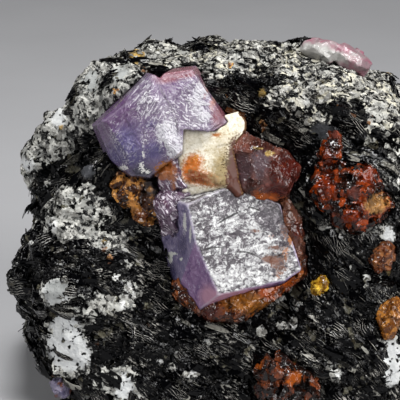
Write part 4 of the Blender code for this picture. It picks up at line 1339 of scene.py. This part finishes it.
# %% The fibrous sapphire between them
middle, points, normals, seen = start_crystal("middle_sapphire", 0.22)
height = 0.35 * ridges(seen, -62.0, 1.2, 141, 1.5) + facets(points, 1.5, 143, 0.35, 0.15)
write_points(middle, points + normals * (height + REACH)[:, None])
middle_look = Look("fibrous sapphire")
wisp = middle_look.noise(1.2, detail=7.0, roughness=0.7, warp=1.0)
fibre = feathers(middle_look, -58.0, 0.50, 5.0, 0.8)
colour = middle_look.mix(wisp.between(0.35, 0.65), (62, 40, 58), (100, 77, 100))
colour = middle_look.mix(fibre.between(0.54, 0.60), colour, (214, 203, 214))
colour = middle_look.mix((1.0 - fibre).between(0.58, 0.66), colour, (74, 40, 62))
colour = add_tints(middle, middle_look, seen, colour, 1.2 * (wisp - 0.5), (
    ("amber", (150, 84, 34), 0.15, ((-6.2, 5.4, 2.0, 1.8, 1.1), (-4.6, 2.6, 0.8, 1.6, 0.6))),
))
middle_look.finish(
    Base_Color=colour,
    Roughness=0.14 + 0.2 * wisp,
    IOR=1.77,
    Transmission_Weight=0.15,
    Normal=middle_look.bump(feathers(middle_look, -58.0, 0.8, 3.0, 1.0, 1.5), 0.3),
)
finish_piece(middle, middle_look, "middle_sapphire", smooth=True)

# %% [markdown]
# Only a corner of the next crystal shows at the foot of the rock. It is blue-violet, broken into
# plain facets, with a vein of rust.

# %% The corner sapphire
corner, points, normals, _ = start_crystal("corner_sapphire", 0.22)
write_points(corner, points + normals * facets(points, 1.6, 151, 0.35, 0.15)[:, None])
corner_look = Look("blue corner sapphire")
wisp = corner_look.noise(1.5, detail=7.0, roughness=0.7, warp=0.8)
colour = corner_look.mix(wisp.between(0.35, 0.7), (52, 46, 84), (158, 148, 174))
rust_vein = corner_look.noise(2.2, warp=0.5).between(0.56, 0.64)
colour = corner_look.mix(rust_vein, colour, (112, 58, 30))
corner_look.finish(
    Base_Color=colour,
    Roughness=0.2 + 0.2 * wisp,
    IOR=1.77,
    Transmission_Weight=0.15,
    Normal=corner_look.bump(wisp, 0.2, 0.9),
)
finish_piece(corner, corner_look, "corner_sapphire")

# %% [markdown]
# Corundum without the trace elements of sapphire is pale. This pink one lies on the far top, half
# of it crusted white, so it has few large facets and two soft tints.

# %% The pink corundum on top
pink, points, normals, seen = start_crystal("pink_corundum", 0.3)
write_points(pink, points + normals * (facets(points, 2.8, 161, 0.16, 0.10) - 0.1)[:, None])
pink_look = Look("pink corundum")
wisp = pink_look.noise(2.4, detail=6.0, roughness=0.6, warp=0.8)
colour = pink_look.mix(wisp.between(0.40, 0.60), (142, 88, 103), (138, 118, 122))
colour = add_tints(pink, pink_look, seen, colour, 1.0 * (wisp - 0.5), (
    ("white", (158, 156, 152), 0.3, ((20.0, 26.8, 4.0, 1.6, 1.2), (24.0, 25.6, 5.0, 1.2, 0.9))),
))
pink_look.finish(
    Base_Color=colour,
    Roughness=0.3 + 0.2 * wisp,
    IOR=1.77,
    Transmission_Weight=0.1,
    Normal=pink_look.relief(1.6, 0.2),
)
finish_piece(pink, pink_look, "pink_corundum", smooth=True)

# %% [markdown]
# ## The cream feldspar between the sapphires
# It is one clean cream plate with a flat break and an orange-brown stain soaked into it. The
# stain is a cloud of orange grains over a darker band, so it is several tints. On the right the
# plate ends in crumbs against the garnet, whose brown shows through its thin edge.

# %% The feldspar seam's skin
seam, points, normals, seen = start_crystal("feldspar_seam", 0.25)
height = 0.10 + facets(points, 4.5, 171, 0.05, 0.10) + 0.03 * soft_noise(points, 1.4, 173)
STAINED = (
    (-0.9, 7.0, 1.8, 1.6, 1.0), (-2.2, 5.2, 1.4, 1.6, 0.9), (0.8, 3.9, 3.0, 1.3, 1.2),
    (3.6, 3.4, 1.8, 0.9, 1.0),
)
rough_part = np.minimum(patches(seen, STAINED), 1.0)
height += facets(points, 0.9, 175, 0.3, 0.12) * rough_part
write_points(seam, points + normals * (height + REACH)[:, None])
SEAM_LINES = (
    ((-0.9, 13.4), (0.4, 8.6), 0.2, 0.14), ((1.6, 4.4), (6.2, 8.2), 0.3, 0.12),
    ((2.0, 12.6), (3.4, 9.0), -0.4, 0.12),
)
set_field(seam, "faint line", np.minimum(cracks(seen, SEAM_LINES), 1.0))
set_field(seam, "side", smooth_step(normals @ RIGHT, 0.35, 0.75) * smooth_step(seen[:, 0], 4.0, 5.0))

# %% The feldspar seam's material
seam_look = Look("cream feldspar")
wisp = seam_look.noise(1.6, detail=7.0, roughness=0.68, warp=0.8)
dust = seam_look.noise(0.35, detail=4.0)
colour = seam_look.mix(wisp.between(0.35, 0.65), (224, 219, 206), (205, 197, 174))
colour = add_tints(seam, seam_look, seen, colour, 1.3 * (dust - 0.5) + 0.6 * (wisp - 0.5), (
    ("stain", (164, 86, 24), 0.30, STAINED + ((2.9, 11.7, 0.9, 0.4, 1.0),)),
    ("amber", (206, 138, 44), 0.12, ((-0.4, 7.6, 1.6, 1.4, 0.52), (1.6, 5.4, 1.6, 0.9, 0.46))),
    ("deep", (96, 40, 12), 0.25, (
        (0.9, 4.0, 2.6, 1.0, 1.0), (-1.4, 4.6, 1.6, 1.0, 0.8), (3.8, 3.2, 1.8, 0.7, 0.9),
    )),
    ("olive", (128, 118, 84), 0.45, (
        (4.6, 5.4, 1.8, 3.0, 0.9), (5.8, 1.6, 1.6, 2.0, 0.8), (6.4, 9.0, 0.8, 3.4, 1.0),
    )),
    # Painted shade: the plate's right part a darker olive-tan.
    ("shade", (142, 126, 92), 0.60, ((4.4, 7.8, 2.4, 4.0, 0.85), (4.0, 5.2, 2.6, 2.2, 0.8))),
    ("brown", (74, 42, 33), 0.16, (
        (6.9, 8.2, 1.7, 3.4, 1.2), (6.4, 4.4, 1.7, 3.4, 1.3), (6.2, 0.4, 1.8, 2.0, 1.2),
    )),
    ("speck", (70, 52, 20), 0.08, ((5.0, 8.6, 1.0, 2.6, 0.46), (4.2, 6.2, 1.4, 1.6, 0.38))),
))
colour = seam_look.mix(0.35 * seam_look.field("faint line"), colour, (140, 132, 112))
side = (seam_look.field("side") + 0.8 * (wisp - 0.5)).between(0.3, 0.6)
rim = seam_look.mix(dust.between(0.45, 0.6), (70, 44, 30), (112, 84, 54))
colour = seam_look.mix(side, colour, rim)
seam_look.finish(
    Base_Color=colour,
    Roughness=0.30 + 0.2 * wisp,
    Specular_IOR_Level=0.2,
    Normal=seam_look.relief(1.6, 0.10),
)
finish_piece(seam, seam_look, "feldspar_seam", smooth=True)

# %% [markdown]
# ## The garnets
# Garnet breaks in shell-shaped glassy chips, orange where it is thin and dark red where it is
# thick. Two sizes of tilted facets give the chips. Light is painted into their colour: glowing
# orange and glints, some chips darkened as painted shade, and a painted highlight where the chips
# stand out. Where a garnet faces the front, its own tints are laid over that as patches.

# %% The garnets, one to a row
GARNETS = (
    # its solid, slot, skin, chip size, slope, then dark, main and bright colours
    (
        "garnet_beside_feldspar", "garnet_brown", 0.22, 3.0, 0.10,
        (46, 22, 18), (76, 42, 34), (112, 72, 62),
    ),
    ("brown_garnet", "garnet_brown", 0.22, 2.2, 0.45, (30, 17, 11), (84, 44, 20), (236, 166, 84)),
    ("garnet_rim", "garnet_brown", 0.25, 2.4, 0.30, (26, 10, 7), (64, 28, 16), (140, 76, 34)),
    ("garnet_cluster_right", "garnet_red", 0.25, 2.4, 0.45, (4, 2, 1), (34, 10, 4), (164, 66, 20)),
    ("garnet_grain_right", "garnet_red", 0.2, 1.8, 0.30, (54, 24, 12), (116, 62, 34), (156, 102, 62)),
    ("garnet_edge_right", "garnet_red", 0.2, 1.8, 0.30, (76, 40, 12), (136, 80, 26), (192, 130, 60)),
    ("garnet_cluster_bottom", "garnet_red", 0.25, 3.0, 0.42, (6, 3, 2), (26, 12, 9), (120, 58, 26)),
    ("yellow_grain", "yellow_mineral", 0.18, 1.6, 0.30, (74, 46, 8), (170, 118, 22), (236, 196, 70)),
)

# %% The garnets' own tints
GARNET_TINTS = {
    "garnet_beside_feldspar": (
        ("brown", (102, 60, 50), 0.3, ((7.6, 10.3, 2.1, 2.0, 1.2),)),
        ("mauve", (74, 54, 58), 0.3, ((7.8, 5.6, 1.7, 2.9, 1.2),)),
        ("grey", (88, 72, 76), 0.2, ((11.0, 7.4, 1.9, 1.8, 1.0), (11.0, 4.8, 1.3, 1.8, 0.9))),
        ("dusty", (118, 72, 66), 0.3, ((12.0, 2.6, 1.1, 2.4, 1.0),)),
        ("red", (70, 20, 12), 0.2, ((15.4, 4.9, 2.7, 3.4, 1.3), (13.6, 1.8, 1.8, 1.0, 0.9))),
        ("orange", (160, 76, 12), 0.25, ((11.8, 0.6, 2.8, 1.0, 1.1),)),
        ("crust", (168, 140, 84), 0.1, ((10.3, 9.3, 1.4, 0.3, 0.8), (12.6, 8.4, 1.4, 0.6, 0.8))),
    ),
    "garnet_rim": (
        ("gold", (142, 86, 26), 0.25, ((8.4, -18.4, 4.4, 1.8, 1.1),)),
        ("orange", (156, 68, 9), 0.25, ((12.0, -16.4, 1.8, 1.5, 1.1), (14.8, -14.6, 2.2, 1.3, 1.2))),
        ("dusty", (90, 58, 48), 0.3, ((16.6, -1.6, 2.4, 3.6, 1.1), (17.6, -9.0, 1.2, 2.6, 0.9))),
        ("wine", (74, 28, 20), 0.3, ((17.2, -5.6, 1.2, 2.0, 1.0), (2.0, -20.4, 2.6, 1.6, 0.9))),
    ),
    "brown_garnet": (
        ("glass", (62, 58, 58), 0.3, ((-8.6, 2.6, 1.8, 1.6, 1.2), (-7.0, 0.4, 1.4, 1.6, 0.8))),
        ("gold", (206, 140, 66), 0.08, ((-12.8, 0.4, 1.8, 2.4, 0.55), (-11.4, -2.0, 1.4, 1.6, 0.5))),
        ("rust", (98, 48, 18), 0.3, ((-10.8, -3.0, 2.0, 2.0, 0.7), (-6.6, 4.6, 1.6, 1.0, 0.9))),
    ),
    "garnet_cluster_bottom": (
        ("orange", (158, 78, 26), 0.2, (
            (10.4, -29.6, 2.0, 1.0, 0.9), (13.0, -26.6, 1.6, 1.0, 0.8), (17.0, -32.0, 2.0, 1.2, 0.9),
        )),
        ("wine", (58, 34, 34), 0.3, ((17.4, -27.6, 2.4, 1.8, 1.0), (9.0, -33.6, 1.6, 1.6, 0.9))),
    ),
    "garnet_cluster_right": (
        ("orange", (114, 36, 5), 0.25, (
            (22.9, 2.2, 1.9, 2.2, 0.8), (30.2, 4.2, 1.8, 1.8, 0.9), (27.2, -3.2, 2.0, 1.6, 0.9),
            (23.2, 8.0, 1.0, 3.0, 0.8), (29.4, -0.6, 1.4, 1.0, 0.8),
        )),
        ("dark", (26, 9, 5), 0.3, (
            (24.0, 10.4, 1.6, 3.0, 1.0), (26.8, 3.4, 1.7, 1.7, 1.2), (24.6, -2.0, 1.6, 1.2, 0.8),
        )),
        ("dusty", (120, 66, 56), 0.3, ((27.8, 1.4, 1.2, 0.9, 1.0), (24.6, 11.6, 0.7, 0.5, 0.8))),
        ("crust", (196, 146, 88), 0.2, ((31.8, -0.6, 2.0, 1.8, 1.1),)),
    ),
}

# %% [markdown]
# All the garnets are made in one loop. The skin takes its large and small chips, each small chip
# has a random tone, and the material goes from dark to main to bright with it, the bright being
# painted light coming through thin garnet and glints, then lays the garnet's own tints over that.
# Chips with a low tone are darkened as painted shade, and the edges get a painted highlight.

# %% Break a garnet
def garnet_skin(solid, size, chip, slope, seed):
    """A garnet's skin with two sizes of chips, the second less than half as wide as the first."""
    piece, points, normals, seen = start_crystal(solid, size)
    height = facets(points, chip, seed, slope, 0.08 * chip)
    height += facets(points, 0.45 * chip, seed + 3, 0.5 * slope, 0.04) + REACH
    write_points(piece, points + normals * height[:, None])
    set_field(piece, "tone", hashed(grains(points, 0.45 * chip, seed + 3)[1], seed + 5))
    return piece, seen


def garnet_material(piece, solid, seen, dark, main, bright):
    """A garnet's material: dark, main and bright by chip, the bright being painted light through thin
    garnet, its own tints, painted shade on some chips, then a painted highlight on the edges.
    """
    look = Look(solid.replace("_", " "))
    wisp = look.noise(1.8, detail=9.0, roughness=0.66, warp=1.0)
    grit = look.noise(0.35, detail=4.0)
    tone = look.field("tone")
    colour = look.mix(wisp.between(0.38, 0.60), dark, main)
    # Painted light: the bright colour stands for light coming through thin garnet, and for glints.
    painted_glow = (tone * 0.4 + 0.8 * wisp + 0.3 * (grit - 0.5)).between(0.62, 0.84)
    colour = look.mix(painted_glow, colour, bright)
    rough = 1.8 * (wisp - 0.5) + 0.3 * (grit - 0.5)
    colour = add_tints(piece, look, seen, colour, rough, GARNET_TINTS.get(solid, ()))
    # Painted shade: chips with a low tone are darkened halfway to the dark colour.
    painted_shade = look.mix(0.5, colour, dark)
    colour = look.mix((tone + 0.4 * wisp).between(0.2, 0.9), painted_shade, colour)
    # Painted highlight: the edges a little brighter.
    colour = look.mix(look.field("edge").between(0.06, 0.18) * 0.3, colour, bright)
    return look.finish(
        Base_Color=colour,
        Roughness=0.08 + 0.08 * grit,
        IOR=1.8,
        Specular_IOR_Level=0.14,
        Transmission_Weight=0.15,
        Normal=look.relief(0.7, 0.14),
    )


# %% Make every garnet
for number, (solid, slot, size, chip, slope, *colours) in enumerate(GARNETS):
    garnet, seen = garnet_skin(solid, size, chip, slope, 200 + 10 * number)
    finish_piece(garnet, garnet_material(garnet, solid, seen, *colours), solid)

# %% [markdown]
# ## Floor, light and camera
# The floor is plain and pale, and stays dim enough for the black mica to read as black. One large
# light stands to the right, where the lower sapphire's flat face throws it back to the eye, one
# shines from above, and a weaker one fills from the left.

# %% The floor
HALF_FLOOR = 3.0  # metres from its middle to its sides
floor_turn = ((-1, -1), (1, -1), (1, 1), (-1, 1))
floor_corners = [(right * HALF_FLOOR, back * HALF_FLOOR, 0.0) for right, back in floor_turn]
floor_mesh = bpy.data.meshes.new("floor")
floor_mesh.from_pydata(floor_corners, [], [(0, 1, 2, 3)])
floor = new_piece("floor", floor_mesh)
floor_look = Look("pale floor")
floor_grain = floor_look.noise(40.0)
floor_look.finish(
    Base_Color=floor_look.mix(floor_grain, (158, 158, 160), (166, 166, 168)), Roughness=0.9
)
floor.data.materials.append(floor_look.material)


# %% Lights
def area_light(name, direction, distance, size, power):
    """A square light that faces the centre from a direction (right, back, up)."""
    from_here = np.array(direction) / np.linalg.norm(direction)
    data = bpy.data.lights.new(name, "AREA")
    data.size, data.energy = size, power
    lamp = bpy.data.objects.new(name, data)
    bpy.context.scene.collection.objects.link(lamp)
    lamp.location = (CENTRE + from_here * distance) * MM
    lamp.rotation_euler = (
        math.acos(from_here[2]),
        0.0,
        math.atan2(from_here[0], -from_here[1]),
    )
    lamp.visible_camera = False


LIGHTS = (
    # its name, direction, distance in mm, width in metres, watts
    ("key light", (0.69, -0.56, 0.43), 600.0, 0.40, 4.2),
    ("top light", (0.00, -0.15, 1.00), 600.0, 0.20, 4.2),
    ("fill light", (-0.75, -0.45, 0.45), 650.0, 0.16, 1.8),
)
for lamp in LIGHTS:
    area_light(*lamp)
print(len(LIGHTS), "lights")

# %% A dim studio around it
world = bpy.data.worlds.new("studio")
world.use_nodes = True
world.node_tree.nodes["Background"].inputs["Color"].default_value = (0.9, 0.93, 1.0, 1.0)
world.node_tree.nodes["Background"].inputs["Strength"].default_value = 0.05
bpy.context.scene.world = world
bpy.context.scene.view_settings.view_transform = "Standard"

# %% The camera
camera = bpy.data.objects.new("camera", bpy.data.cameras.new("camera"))
bpy.context.scene.collection.objects.link(camera)
camera.data.lens, camera.data.sensor_width = 175.0, 36.0
camera.data.clip_start, camera.data.clip_end = 0.01, 20.0
camera.location = (CENTRE + EYE_DISTANCE * OUT) * MM
camera.rotation_euler = (math.pi / 2.0 - LEAN, 0.0, 0.0)
bpy.context.scene.camera = camera
